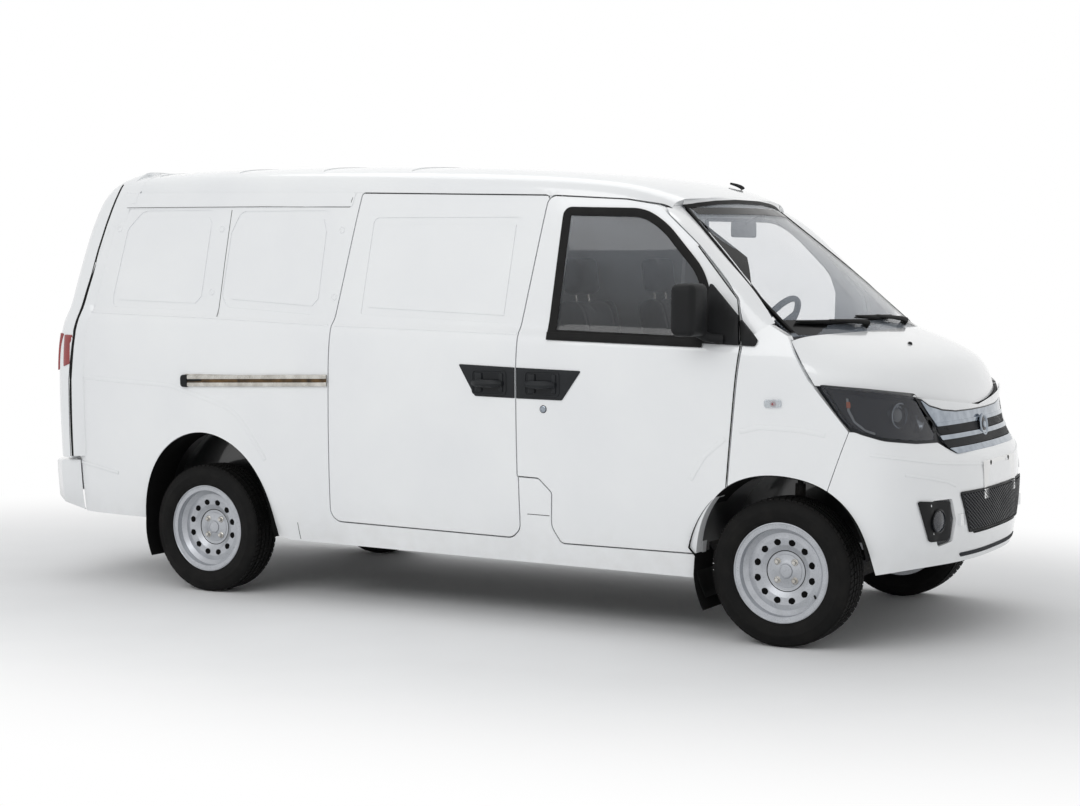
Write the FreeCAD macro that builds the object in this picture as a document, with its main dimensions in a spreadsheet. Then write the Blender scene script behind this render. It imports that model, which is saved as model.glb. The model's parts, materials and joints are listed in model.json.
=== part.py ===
import FreeCAD, Part
import Sketcher
import math
import os
import re
from FreeCAD import Vector, Rotation, Placement

doc = FreeCAD.newDocument("panel_van")

# Driving sizes, in millimetres, kilograms and degrees
sheet = doc.addObject("Spreadsheet::Sheet", "sizes")
driving_sizes = [
    ("wheelbase", 3000, "rear axle to front axle"),
    ("front_overhang", 680, "front axle to the front of the bumper"),
    ("rear_overhang", 1040, "rear axle to the back of the bumper"),
    ("body_width", 1684, "width over the flank crease"),
    ("roof_height", 2068, "ground to the crown of the roof"),
    ("track", 1448, "between the wheels' middle planes, both axles"),
    ("wall_thickness", 55, "doors and flanks, outer to inner skin"),
    ("frame_depth", 100, "flank with its inner door frame"),
    ("frame_flange", 45, "inner door frame standing into the opening"),
    ("roof_thickness", 35, "roof skin with its lining"),
    ("glass_thickness", 5, "window glass"),
    ("glass_inset", 4, "glass set back from the panel's skin"),
    ("panel_gap", 6, "gap round doors and lids"),
    ("seat_gap", 0.3, "gap between pieces that sit on each other"),
    ("sill_height", 275, "underside of the sill at the rear wheel"),
    ("belt_height", 1337, "shoulder line over the rear axle"),
    ("belt_fall", 0.0285, "fall of the shoulder line per millimetre forward"),
    ("floor_height", 600, "top of the load floor"),
    ("floor_thickness", 40, "load floor"),
    ("tyre_radius", 310, "185/65 R15 tyre"),
    ("tyre_width", 185, "tyre section"),
    ("rim_radius", 208, "rim flange"),
    ("rim_width", 152, "over the rim flanges"),
    ("press_depth", 3.5, "depth of the pressed window blanks and roof swages"),
    ("hub_radius", 34, "wheel hub and rear axle tube"),
    ("rail_spread", 400, "middle of the van to the middle of each front rail"),
    ("seat_spread", 400, "middle of the van to the middle of each front seat"),
    ("half_length", "=(wheelbase + front_overhang + rear_overhang) / 2", "origin to either end"),
    ("rear_axle_x", "=rear_overhang - half_length", "station of the rear axle"),
    ("front_axle_x", "=rear_axle_x + wheelbase", "station of the front axle"),
    ("half_width", "=body_width / 2", "origin to the flank crease"),
    ("wheel_y", "=track / 2", "origin to a wheel's middle plane"),
    ("floor_under", "=floor_height - floor_thickness", "underside of the load floor"),
]
for number, (alias, value, note) in enumerate(driving_sizes, 1):
    sheet.set(f"A{number}", note)
    sheet.set(f"B{number}", str(value))
    sheet.setAlias(f"B{number}", alias)
doc.recompute()


def size(alias):
    return float(getattr(sheet, alias))


rear_axle_x = size("rear_axle_x")
front_axle_x = size("front_axle_x")
half_width = size("half_width")
wall = size("wall_thickness")
gap = size("panel_gap")
seat = size("seat_gap")


def front(x):
    return front_axle_x + x


def rear(x):
    return rear_axle_x + x


# Shape helpers
def knots(count, degree=3):
    inner = count - degree
    return list(range(inner + 1)), [degree + 1] + [1] * (inner - 1) + [degree + 1]


def spline_surface(grid):
    u_knots, u_mults = knots(len(grid))
    v_knots, v_mults = knots(len(grid[0]))
    surface = Part.BSplineSurface()
    surface.buildFromPolesMultsKnots(grid, u_mults, v_mults, u_knots, v_knots, False, False, 3, 3)
    return surface


def moved_inwards(grid, depth, inside):
    """Poles moved by a wall thickness along the skin's own normal, to the side where the point inside lies."""
    rows, columns = len(grid), len(grid[0])
    result = []
    for i in range(rows):
        line = []
        for j in range(columns):
            along = grid[min(i + 1, rows - 1)][j] - grid[max(i - 1, 0)][j]
            across = grid[i][min(j + 1, columns - 1)] - grid[i][max(j - 1, 0)]
            normal = along.cross(across)
            normal.normalize()
            if normal.dot(inside - grid[i][j]) < 0:
                normal = -normal
            line.append(grid[i][j] + normal * depth)
        result.append(line)
    return result


def panel_solid(grid, depth, inside, set_back=0):
    """A solid between the skin through the poles and the same skin moved inwards."""
    outer = spline_surface(moved_inwards(grid, set_back, inside) if set_back else grid)
    inner = spline_surface(moved_inwards(grid, set_back + depth, inside))
    faces = [outer.toShape(), inner.toShape()]
    last_u = outer.getUKnots()[-1]
    last_v = outer.getVKnots()[-1]
    for side in (0, last_u):
        faces.append(Part.makeRuledSurface(outer.uIso(side).toShape(), inner.uIso(side).toShape()))
    for side in (0, last_v):
        faces.append(Part.makeRuledSurface(outer.vIso(side).toShape(), inner.vIso(side).toShape()))
    skin = Part.makeCompound(faces)
    skin.sewShape()
    solid = Part.Solid(skin.Shells[0])
    if solid.Volume < 0:
        solid.reverse()
    return solid


def extended(grid, margin):
    """The same skin carried on past all four edges by a margin."""
    rows = [list(row) for row in grid]
    for row in rows:
        first, last = row[0] - row[1], row[-1] - row[-2]
        first.Length, last.Length = margin, margin
        row[0], row[-1] = row[0] + first, row[-1] + last
    for edge, neighbour in ((0, 1), (-1, -2)):
        for j, pole in enumerate(rows[edge]):
            step = pole - rows[neighbour][j]
            step.Length = margin
            rows[edge][j] = pole + step
    return rows


def clearance_zone(grid, depth, inside, clearance):
    """The room a panel needs: its solid with a clearance all round and open on its outer side."""
    return panel_solid(extended(grid, clearance), 40 + depth + clearance, inside, -40)


def rounded_wire(corners, to_point):
    """A closed outline of straight runs, each corner given as (a, b, radius)."""
    points = [Vector(a, b, 0) for a, b, radius in corners]
    count = len(points)
    entries, exits, middles = [], [], []
    for k in range(count):
        point, radius = points[k], corners[k][2]
        back = points[k - 1] - point
        ahead = points[(k + 1) % count] - point
        back.normalize()
        ahead.normalize()
        half = back.getAngle(ahead) / 2
        if radius <= 0 or half > 1.56:
            entries.append(point)
            exits.append(point)
            middles.append(None)
            continue
        reach = radius / math.tan(half)
        bisector = back + ahead
        bisector.normalize()
        centre = point + bisector * (radius / math.sin(half))
        entries.append(point + back * reach)
        exits.append(point + ahead * reach)
        middles.append(centre - bisector * radius)
    edges = []
    for k in range(count):
        if middles[k] is not None:
            edges.append(Part.Arc(*[to_point(p) for p in (entries[k], middles[k], exits[k])]).toShape())
        start, end = exits[k], entries[(k + 1) % count]
        if (end - start).Length > 1e-6:
            edges.append(Part.makeLine(to_point(start), to_point(end)))
    return Part.Wire(edges)


def grown(corners, distance):
    """The same outline moved outwards by a distance, its radii changed to match."""
    count = len(corners)
    turn = sum(
        corners[k - 1][0] * corners[k][1] - corners[k][0] * corners[k - 1][1] for k in range(count)
    )
    sense = 1 if turn > 0 else -1
    result = []
    for k in range(count):
        before, here, after = corners[k - 1], corners[k], corners[(k + 1) % count]
        arriving = Vector(here[0] - before[0], here[1] - before[1], 0)
        leaving = Vector(after[0] - here[0], after[1] - here[1], 0)
        arriving.normalize()
        leaving.normalize()
        normal_in = Vector(arriving.y, -arriving.x, 0) * sense
        normal_out = Vector(leaving.y, -leaving.x, 0) * sense
        mitre = (normal_in + normal_out) * (distance / (1 + normal_in.dot(normal_out)))
        bulges = (arriving.x * leaving.y - arriving.y * leaving.x) * sense > 0
        radius = here[2] + distance if bulges else here[2] - distance
        result.append((here[0] + mitre.x, here[1] + mitre.y, max(radius, 0) if here[2] else 0))
    return result


def side_prism(corners, y_from, y_to, grow=0):
    """An outline in side view, x and z, run through from y_from to y_to."""
    wire = rounded_wire(grown(corners, grow), lambda p: Vector(p.x, y_from, p.y))
    return Part.Face(wire).extrude(Vector(0, y_to - y_from, 0))


def spline_prism(points, y_from, y_to):
    """A closed smooth outline in side view, run through from y_from to y_to."""
    curve = Part.BSplineCurve()
    curve.interpolate([Vector(x, y_from, z) for x, z in points])
    ends = Part.makeLine(curve.EndPoint, curve.StartPoint)
    return Part.Face(Part.Wire([curve.toShape(), ends])).extrude(Vector(0, y_to - y_from, 0))


def mirrored(shape):
    return shape.mirror(Vector(0, 0, 0), Vector(0, 1, 0))


def box(x_from, x_to, y_from, y_to, z_from, z_to):
    return Part.makeBox(x_to - x_from, y_to - y_from, z_to - z_from, Vector(x_from, y_from, z_from))


def bar(start, end, radius):
    return Part.makeCylinder(radius, (end - start).Length, start, end - start)


sub_parts = {}


def add(name, shape):
    feature = doc.addObject("Part::Feature", name)
    feature.Label = name
    feature.Shape = shape
    sub_parts[name] = feature
    return feature


# Flank: half width at each height, and how far the plan draws in at each station
flank_heights = [
    (250, 62), (330, 40), (450, 25), (700, 8), (950, 1), (1110, 0), (1200, 0),
    (1300, 12), (1332, 26), (1352, 44), (1400, 53), (1600, 85), (1800, 118), (1900, 136), (1985, 158),
]
flank_stations = [
    (rear(-1000), 190), (rear(-890), 60), (rear(-740), 12), (rear(-350), 0), (rear(300), 0),
    (front(-2000), 0), (front(-1200), 0), (front(-500), 0), (front(-100), 2), (front(150), 8),
    (front(290), 28), (front(370), 75), (front(430), 150),
]


def belt(x):
    return size("belt_height") - size("belt_fall") * (x - rear_axle_x)


def flank_point(x, inset, height, draw):
    z = height + belt(x) - size("belt_height")
    return Vector(x, -(half_width - inset - draw), z)


flank_grid = [[flank_point(x, inset, z, draw) for z, draw in flank_heights] for x, inset in flank_stations]
flank_inside = Vector(0, 0, 900)
flank_slab = panel_solid(flank_grid, wall, flank_inside)
door_depth = wall + gap
outer_slab = panel_solid(flank_grid, door_depth, flank_inside)
frame_slab = panel_solid(flank_grid, size("frame_depth") - door_depth, flank_inside, door_depth)

# Seam between the roof panel and the doors and flanks
roof_seam = [
    (rear(-560), 1946), (front(-2130), 1918), (front(-1140), 1887), (front(-760), 1862),
    (front(-640), 1844), (front(-480), 1808),
]


def seam(x):
    """Height of the roof seam at a station."""
    for (back_x, back_z), (fore_x, fore_z) in zip(roof_seam, roof_seam[1:]):
        if x <= fore_x or fore_x == roof_seam[-1][0]:
            return back_z + (fore_z - back_z) * (x - back_x) / (fore_x - back_x)


# Outlines in side view: station, height, corner radius
b_seam_x = front(-1230)
sliding_rear_x = front(-2250)
sill_top = size("sill_height") + 95
front_door_outline = [
    (b_seam_x, 655, 5), (b_seam_x + 105, 652, 30), (b_seam_x + 172, 590, 30), (b_seam_x + 165, 440, 60),
    (b_seam_x + 210, sill_top, 30), (front(-300), sill_top - 2, 0),
    (front(-228), 655, 40), (front(-172), 1235, 60), (front(-204), 1432, 60),
    (front(-400), 1657, 300), (front(-600), seam(front(-600)) - gap, 110),
    (front(-760), seam(front(-760)) - gap, 0), (b_seam_x + 92, seam(b_seam_x + 92) - gap, 40),
    (b_seam_x, 1290, 20),
]
sliding_door_outline = [
    (sliding_rear_x, sill_top + 25, 60), (b_seam_x - 40, sill_top + 10, 50), (b_seam_x, 420, 50),
    (b_seam_x, 1290, 20), (b_seam_x + 92, seam(b_seam_x + 92) - gap, 15),
    (front(-2130), seam(front(-2130)) - gap, 15), (sliding_rear_x + 20, 1300, 20),
]
window_outline = [
    (front(-1085), 1272, 25), (front(-370), 1250, 25), (front(-352), 1440, 60), (front(-380), 1540, 120),
    (front(-560), 1735, 90), (front(-660), 1797, 60), (front(-1040), 1812, 25),
]
rail_height = 30
door_front_edge = grown(front_door_outline, -3)[10:4:-1]
flank_outline = [
    (rear(-835), 622, 0), (rear(-835), 1200, 60), (rear(-790), 1330, 60), (rear(-765), 1440, 60),
    (rear(-545), seam(rear(-545)) + rail_height, 5),
    (front(-2130), seam(front(-2130)) + rail_height, 0), (front(-1140), seam(front(-1140)) + rail_height, 0),
    (front(-760), seam(front(-760)) + rail_height, 20),
] + door_front_edge + [
    (front(-374), size("sill_height") - 13, 5), (rear(500), size("sill_height") + 10, 5),
    (rear(430), size("sill_height") + 25, 5), (rear(-330), 340, 5), (rear(-816), 345, 5), (rear(-816), 612, 5),
]
roof_rebate = [(x, z - seat, 0) for x, z in roof_seam] + [(front(-480), 2100, 0), (rear(-560), 2100, 0)]
near_y = -half_width - 60
deep_y = -half_width + 260


def right_prism(outline, grow=0):
    return side_prism(outline, near_y, deep_y, grow)


# Wheel arches
front_arch_points = [
    (front(-385), 200), (front(-372), 400), (front(-330), 540), (front(-225), 660), (front(-100), 708),
    (front(60), 710), (front(200), 668), (front(320), 560), (front(385), 380), (front(395), 200),
]
rear_arch_points = [
    (rear(-345), 250), (rear(-350), 480), (rear(-280), 640), (rear(-150), 745), (rear(0), 780),
    (rear(130), 755), (rear(270), 665), (rear(375), 510), (rear(425), 340), (rear(440), 250),
]


def arch_prism(points, wheel_x, y_from, y_to, grow=0):
    moved = []
    for x, z in points:
        ray = Vector(x - wheel_x, z - size("tyre_radius"), 0)
        ray.Length = ray.Length + grow
        moved.append((wheel_x + ray.x, size("tyre_radius") + ray.y))
    return spline_prism(moved, y_from, y_to)


front_arch = arch_prism(front_arch_points, front(0), near_y, deep_y)
rear_arch = arch_prism(rear_arch_points, rear(0), near_y, deep_y)

# Lids and panels that wrap round the ends, each from a grid of poles across the van
def across(half_rows):
    """Rows of poles from the right edge to the middle, completed to the left."""
    return [
        [Vector(x, -y, z) for x, y, z in row] + [Vector(x, y, z) for x, y, z in reversed(row[:-1])]
        for row in half_rows
    ]


tailgate_rows = [
    # height, gap station, half width at the gap, rear plane
    (626, -841, 829, -945),
    (760, -841, 835, -948),
    (1000, -839, 841, -948),
    (1190, -822, 841, -942),
    (1320, -797, 826, -922),
    (1372, -782, 800, -900),
    (1450, -769, 783, -888),
    (1680, -700, 742, -842),
    (1860, -612, 708, -790),
    (1965, -562, 686, -730),
    (2025, -530, 650, -640),
    (2055, -512, 600, -514),
]
rear_bow = 26


def tailgate_row(z, gap_x, half, plane_x):
    corner = plane_x + 22
    return [
        (rear(gap_x), half, z - 8), (rear((gap_x + corner) / 2), half - 2, z - 6),
        (rear(corner), half - 12, z - 3), (rear(plane_x), half - 70, z),
        (rear(plane_x - rear_bow * 0.6), 480, z), (rear(plane_x - rear_bow), 220, z),
        (rear(plane_x - rear_bow), 0, z),
    ]


tailgate_grid = across([tailgate_row(*row) for row in tailgate_rows])
cabin_middle = Vector(0, 0, 1100)
tailgate_shell = panel_solid(tailgate_grid, 40, cabin_middle)
rear_window_outline = [(-560, 1430, 70), (560, 1430, 70), (500, 1860, 90), (-500, 1860, 90)]


def rear_prism(outline, x_from, x_to):
    wire = rounded_wire(outline, lambda p: Vector(x_from, p.x, p.y))
    return Part.Face(wire).extrude(Vector(x_to - x_from, 0, 0))


tail_opening = rear_prism(rear_window_outline, rear(-1100), rear(-600))
tailgate_zone = clearance_zone(tailgate_grid, 40, cabin_middle, gap)
tail_lamp_outline = [(-826, 1060, 10), (-826, 1250, 10), (-640, 1230, 20), (-600, 1080, 20)]
lamp_span = (rear(-1100), rear(-860))
lamp_recess = panel_solid(tailgate_grid, 26.3, cabin_middle, -20).common(
    rear_prism(grown(tail_lamp_outline, seat), *lamp_span))
tailgate = tailgate_shell.cut(tail_opening).cut(lamp_recess).cut(mirrored(lamp_recess))
add("tailgate", tailgate)
tail_glass = panel_solid(tailgate_grid, size("glass_thickness"), cabin_middle, size("glass_inset"))
add("tailgate_glass", tail_glass.common(rear_prism(
    grown(rear_window_outline, -seat), rear(-1100), rear(-600))))

# Roof: sections across the van
roof_stations = [
    # station, half width, crown below the roof's highest point
    (rear(-500), 683, 13),
    (rear(-300), 690, 2),
    (rear(300), 693, 0),
    (front(-2000), 695, 14),
    (front(-1400), 700, 42),
    (front(-900), 706, 80),
    (front(-640), 690, 128),
    (front(-500), 620, 200),
]
screen_bow = 100


def roof_row(x, half, drop):
    crown = size("roof_height") - drop
    bow = screen_bow if x >= front(-640) else 0
    edge = seam(x)
    rise = crown - edge
    return [
        (x - bow * 0.8, half, edge), (x - bow * 0.8, half - 4, edge + rise * 0.45),
        (x - bow * 0.7, half - 60, edge + rise * 0.82), (x - bow * 0.35, 430, edge + rise * 0.95),
        (x - bow * 0.05, 200, crown), (x, 0, crown),
    ]


roof_grid = across([roof_row(*row) for row in roof_stations])
roof_zone = clearance_zone(roof_grid, size("roof_thickness"), cabin_middle, seat)
roof = panel_solid(roof_grid, size("roof_thickness"), cabin_middle).cut(tailgate_zone)
swage_slab = panel_solid(roof_grid, size("press_depth"), cabin_middle)
swage = {"first_x": -330, "pitch": 500, "count": 4, "length": 185, "half_width": 640}
for number in range(swage["count"]):
    swage_x = rear(swage["first_x"] + number * swage["pitch"])
    corners = [(swage_x - swage["length"] / 2, -swage["half_width"]), (swage_x + swage["length"] / 2, swage["half_width"])]
    patch = box(corners[0][0], corners[1][0], corners[0][1], corners[1][1], 1900, 2100)
    upright = [edge for edge in patch.Edges if abs(edge.Vertexes[0].Z - edge.Vertexes[1].Z) > 1]
    roof = roof.cut(swage_slab.common(patch.makeFillet(swage["length"] * 0.3, upright)))

# Windscreen
screen_rows = [
    # centre station, centre height, edge station, edge half width, edge height
    (198, 1288, 30, 748, 1283),
    (150, 1330, -52, 740, 1336),
    (30, 1434, -132, 716, 1440),
    (-235, 1652, -362, 622, 1642),
    (-502, 1866, -584, 530, 1834),
]


def screen_row(x_mid, z_mid, x_edge, half, z_edge):
    return [
        (front(x_edge), half, z_edge), (front((x_edge + x_mid) / 2), half * 0.78, (z_edge + z_mid) / 2),
        (front(x_mid - 10), half * 0.38, z_mid), (front(x_mid), 0, z_mid),
    ]


screen_grid = across([screen_row(*row) for row in screen_rows])
add("windscreen", panel_solid(screen_grid, size("glass_thickness") + 1, cabin_middle))
screen_zone = clearance_zone(screen_grid, size("glass_thickness") + 1, cabin_middle, seat)
roof = roof.cut(screen_zone)
for outline in (front_door_outline, sliding_door_outline):
    opening = right_prism(outline, gap)
    roof = roof.cut(opening).cut(mirrored(opening))
tailgate_seat = clearance_zone(tailgate_grid, 40, cabin_middle, seat)
for y in (-440, 360):
    hinge_block = box(rear(-545), rear(-465), y, y + 80, 1990, 2050).cut(tailgate_seat)
    roof = roof.fuse(max(hinge_block.Solids, key=lambda solid: solid.CenterOfMass.x))
add("roof_panel", roof)

# Bonnet
bonnet_rows = [
    [(34, 778, 1262), (72, 742, 1284), (125, 560, 1286), (192, 280, 1294), (205, 0, 1294)],
    [(72, 806, 1216), (124, 764, 1236), (222, 600, 1250), (300, 300, 1258), (322, 0, 1258)],
    [(102, 822, 1168), (200, 790, 1182), (348, 625, 1196), (436, 300, 1206), (458, 0, 1206)],
    [(134, 822, 1118), (262, 796, 1126), (440, 630, 1130), (524, 300, 1126), (545, 0, 1124)],
    [(152, 816, 1086), (284, 786, 1080), (470, 628, 1046), (550, 300, 996), (568, 0, 972)],
]
bonnet_grid = across([[(front(x), y, z) for x, y, z in row] for row in bonnet_rows])
bonnet_inside = Vector(front(0), 0, 900)
add("bonnet", panel_solid(bonnet_grid, 28, bonnet_inside))
bonnet_zone = clearance_zone(bonnet_grid, 28, bonnet_inside, gap - 1)
bonnet_seat = clearance_zone(bonnet_grid, 28, bonnet_inside, seat)

# Flank panel with sill and rear quarter, and behind the doors a frame that stands into their openings
outer_flank = outer_slab.common(right_prism(flank_outline)).cut(rear_arch).cut(front_arch)
outer_flank = outer_flank.cut(right_prism(roof_rebate)).cut(roof_zone)
inner_flank = frame_slab.common(right_prism(flank_outline)).cut(rear_arch).cut(front_arch)
inner_flank = inner_flank.cut(roof_zone)
for outline in (front_door_outline, sliding_door_outline):
    outer_flank = outer_flank.cut(right_prism(outline, gap))
    inner_flank = inner_flank.cut(right_prism(outline, -size("frame_flange")))
rear_blank = [
    (rear(-585), 1382, 30), (rear(-590), 1440, 25), (rear(-532), 1766, 40), (rear(-440), 1856, 90),
    (rear(0), 1852, 40), (rear(34), 1800, 30), (rear(8), 1420, 25), (rear(-45), 1366, 40),
]
front_blank = [
    (rear(136), 1384, 40), (rear(100), 1440, 25), (rear(124), 1740, 30), (rear(172), 1842, 50),
    (rear(690), 1838, 40), (rear(722), 1745, 30), (rear(706), 1410, 30), (rear(650), 1352, 40),
]
door_blank = [
    (front(-2086), 1356, 10), (front(-2053), 1800, 30), (front(-1258), 1790, 30), (front(-1292), 1322, 10),
]
pressing_slab = panel_solid(flank_grid, size("press_depth") + 8, flank_inside, -8)


def pressed(shape, outline, rim):
    """A window blank: a groove of the rim's width follows the outline, pressed into the skin."""
    groove = right_prism(outline).cut(right_prism(outline, -rim))
    return shape.cut(pressing_slab.common(groove))


outer_flank = pressed(outer_flank, rear_blank, 36)
outer_flank = pressed(outer_flank, front_blank, 40)
drip_rail_outline = [(rear(-660), 1868, 0), (rear(815), 1855, 6), (rear(840), 1960, 0), (rear(-660), 1990, 0)]
drip_rail = panel_solid(flank_grid, 7, flank_inside, -3).common(right_prism(drip_rail_outline))
outer_flank = outer_flank.fuse(drip_rail.cut(right_prism(roof_rebate)).cut(roof_zone))
buffer_slab = panel_solid(flank_grid, gap - seat, flank_inside, wall + seat)
hinge_pads = Part.makeCompound([
    buffer_slab.common(right_prism(pad)) for pad in (
        [(front(-262), 760, 0), (front(-222), 760, 0), (front(-222), 820, 0), (front(-262), 820, 0)],
        [(front(-235), 1090, 0), (front(-195), 1090, 0), (front(-195), 1150, 0), (front(-235), 1150, 0)],
    )
])
flank = outer_flank.fuse(inner_flank).fuse(hinge_pads).cut(tailgate_zone)
flank = max(flank.Solids, key=lambda solid: solid.Volume)
add("body_side_right", flank)
add("body_side_left", mirrored(flank))

door = flank_slab.common(right_prism(front_door_outline))
door = door.cut(right_prism(window_outline)).cut(front_arch)
add("front_door_right", door)
add("front_door_left", mirrored(door))
sliding = flank_slab.common(right_prism(sliding_door_outline))
sliding = pressed(sliding.cut(right_prism(front_door_outline, gap)), door_blank, 34)
roller_slab = panel_solid(flank_grid, gap - seat + 2, flank_inside, wall - 2)
for x, z in ((sliding_rear_x + 30, 620), (sliding_rear_x + 40, 1150), (b_seam_x - 60, 620), (b_seam_x - 60, 1150)):
    roller = roller_slab.common(right_prism([(x - 25, z, 0), (x + 25, z, 0), (x + 25, z + 40, 0), (x - 25, z + 40, 0)]))
    sliding = sliding.fuse(roller)
add("sliding_door_right", sliding)
add("sliding_door_left", mirrored(sliding))
glass_slab = panel_solid(flank_grid, size("glass_thickness"), flank_inside, size("glass_inset"))
door_glass = glass_slab.common(right_prism(window_outline, -seat))
add("door_glass_right", door_glass)
add("door_glass_left", mirrored(door_glass))

# Front face: one skin that the wings, bumper, lamps and grilles are cut from
def flank_half(x, z):
    """Half width of the flank at a height, read between its section's poles."""
    height = z - belt(x) + size("belt_height")
    for (low, low_draw), (high, high_draw) in zip(flank_heights, flank_heights[1:]):
        if low <= height <= high:
            return half_width - low_draw - (high_draw - low_draw) * (height - low) / (high - low)
    return half_width - flank_heights[0][1]


face_rows = [
    # height at the side, height in front, corner station, corner half width, centre station
    (300, 345, 398, 765, 650),
    (390, 400, 425, 795, 668),
    (560, 560, 438, 806, 680),
    (690, 690, 440, 808, 680),
    (770, 780, 436, 804, 668),
    (820, 815, 426, 800, 612),
    (900, 900, 410, 792, 580),
    (1000, 990, 384, 784, 572),
    (1090, 1080, 340, 780, 560),
    (1170, 1170, 280, 772, 500),
    (1240, 1250, 210, 760, 420),
    (1340, 1330, 150, 730, 330),
]


def face_row(side_z, z, corner_x, corner_half, centre_x):
    half = flank_half(front(-150), side_z)
    reach = centre_x - corner_x
    return [
        (front(-290), half, side_z), (front(-120), half, side_z), (front(60), half - 1, side_z),
        (front(corner_x - 150), half - 6, side_z), (front(corner_x), corner_half, (side_z + z) / 2),
        (front(corner_x + reach * 0.52), 640, z), (front(corner_x + reach * 0.82), 440, z),
        (front(centre_x), 210, z), (front(centre_x), 0, z),
    ]


face_grid = across([face_row(*row) for row in face_rows])
face_inside = Vector(front(-200), 0, 700)
face_shell = panel_solid(face_grid, 45, face_inside)

wing_outline = [
    (front(-229), 600, 0), (front(-166), 1235, 60), (front(-160), 1262, 0), (front(-60), 1330, 8),
    (front(28), 1284, 5), (front(60), 1218, 60), (front(128), 1108, 20), (front(146), 1088, 5),
    (front(256), 955, 60), (front(298), 903, 8), (front(210), 660, 5), (front(100), 560, 0),
]

# Right headlamp outline, seen from 45 degrees ahead: along the corner, and height
lamp_outline = [
    (-458, 1092, 12), (-389, 955, 80), (-346, 903, 60), (-229, 868, 90), (-78, 855, 60),
    (58, 851, 12), (-74, 1050, 12),
]


def corner_prism(outline, near, far, grow=0):
    """An outline seen along the right front corner's diagonal, run through the corner."""
    diagonal = math.sqrt(0.5)

    def to_point(p):
        return Vector(front((p.x + near) * diagonal), (p.x - near) * diagonal, p.y)

    wire = rounded_wire(grown(outline, grow), to_point)
    return Part.Face(wire).extrude(Vector(diagonal, -diagonal, 0) * (far - near))


lamp_zone_grown = corner_prism(lamp_outline, 350, 1200, gap - 2)
wing = face_shell.common(side_prism(wing_outline, near_y, -500)).cut(front_arch)
wing = wing.cut(lamp_zone_grown).cut(bonnet_zone)
add("front_wings", Part.makeCompound([wing, mirrored(wing)]))

# Region above the lamps and the grille, which belongs to the bonnet
above_lamp = corner_prism(
    [(-458, 1400, 0), (-700, 1400, 0), (-700, 903, 0), (-350, 903, 0), (-229, 868, 0), (-78, 855, 0),
     (58, 851, 0), (58, 1400, 0)], 350, 1200)


def front_prism(outline, x_from, x_to, grow=0):
    wire = rounded_wire(grown(outline, grow), lambda p: Vector(x_from, p.x, p.y))
    return Part.Face(wire).extrude(Vector(x_to - x_from, 0, 0))


grille_outline = [
    (-395, 796, 20), (395, 796, 20), (500, 858, 5), (603, 1036, 10), (300, 1000, 200), (0, 970, 200),
    (-300, 1000, 200), (-603, 1036, 10), (-500, 858, 5),
]
above_grille = [
    (-395, 796, 0), (395, 796, 0), (505, 858, 0), (620, 1400, 0), (-620, 1400, 0), (-505, 858, 0),
]
lower_grille_outline = [(-300, 455, 25), (300, 455, 25), (370, 632, 25), (-370, 632, 25)]
fog_outline = [
    (-600, 618, 14), (-480, 618, 14), (-445, 530, 14), (-455, 440, 14), (-545, 425, 14), (-585, 500, 14),
]
nose = (front(250), front(900))
bumper = face_shell.cut(side_prism(
    [(front(-400), 100, 0), (front(-400), 1500, 0), (front(302), 1500, 0), (front(302), 905, 0),
     (front(214), 660, 0), (front(214), 100, 0)], -1000, 1000))
bumper = bumper.cut(front_arch).cut(mirrored(front_arch))
bumper = bumper.cut(above_lamp).cut(mirrored(above_lamp)).cut(front_prism(above_grille, *nose))
bumper = bumper.cut(front_prism(lower_grille_outline, *nose))
fog_zone = front_prism(fog_outline, *nose)
bumper = bumper.cut(fog_zone).cut(mirrored(fog_zone))
beam_face = front(580)
for y in (-size("rail_spread") - 30, size("rail_spread") - 30):
    bumper = bumper.fuse(box(beam_face + seat, front(642), y, y + 60, 500, 550))
bumper = max(bumper.cut(bonnet_zone).Solids, key=lambda solid: solid.Volume)
add("front_bumper", bumper)

lamp_shell = panel_solid(face_grid, 60, face_inside, 2)
headlamp = lamp_shell.common(corner_prism(lamp_outline, 350, 1200, -seat)).cut(bonnet_zone)
fog_shell = panel_solid(face_grid, 30, face_inside, 12)
fog_lamp = fog_shell.common(front_prism(fog_outline, *nose, -seat))
add("front_lamps", Part.makeCompound([headlamp, mirrored(headlamp), fog_lamp, mirrored(fog_lamp)]))

bar_shell = panel_solid(face_grid, 34, face_inside, 3)
mesh_shell = panel_solid(face_grid, 12, face_inside, 26)
grille_area = front_prism(grille_outline, *nose, -seat)
openings = [
    [(-404, 820, 12), (404, 820, 12), (470, 878, 8), (-470, 878, 8)],
    [(-482, 892, 8), (482, 892, 8), (515, 940, 8), (0, 928, 0), (-515, 940, 8)],
    [(-522, 952, 8), (0, 940, 0), (522, 952, 8), (556, 1000, 10), (300, 976, 200), (-300, 976, 200), (-556, 1000, 10)],
]
bars = bar_shell.common(grille_area)
for opening in openings:
    bars = bars.cut(front_prism(opening, *nose))
emblem_boss = bar_shell.common(bar(Vector(front(300), 0, 888), Vector(front(800), 0, 888), 42))
grille = bars.fuse(mesh_shell.common(grille_area)).fuse(emblem_boss).cut(bonnet_zone)
grille = grille.cut(lamp_zone_grown).cut(mirrored(lamp_zone_grown))
upper_grille = max(grille.Solids, key=lambda solid: solid.Volume)
lower_grille = mesh_shell.common(front_prism(lower_grille_outline, *nose, -seat))
add("grilles", Part.makeCompound([upper_grille, lower_grille]))

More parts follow.
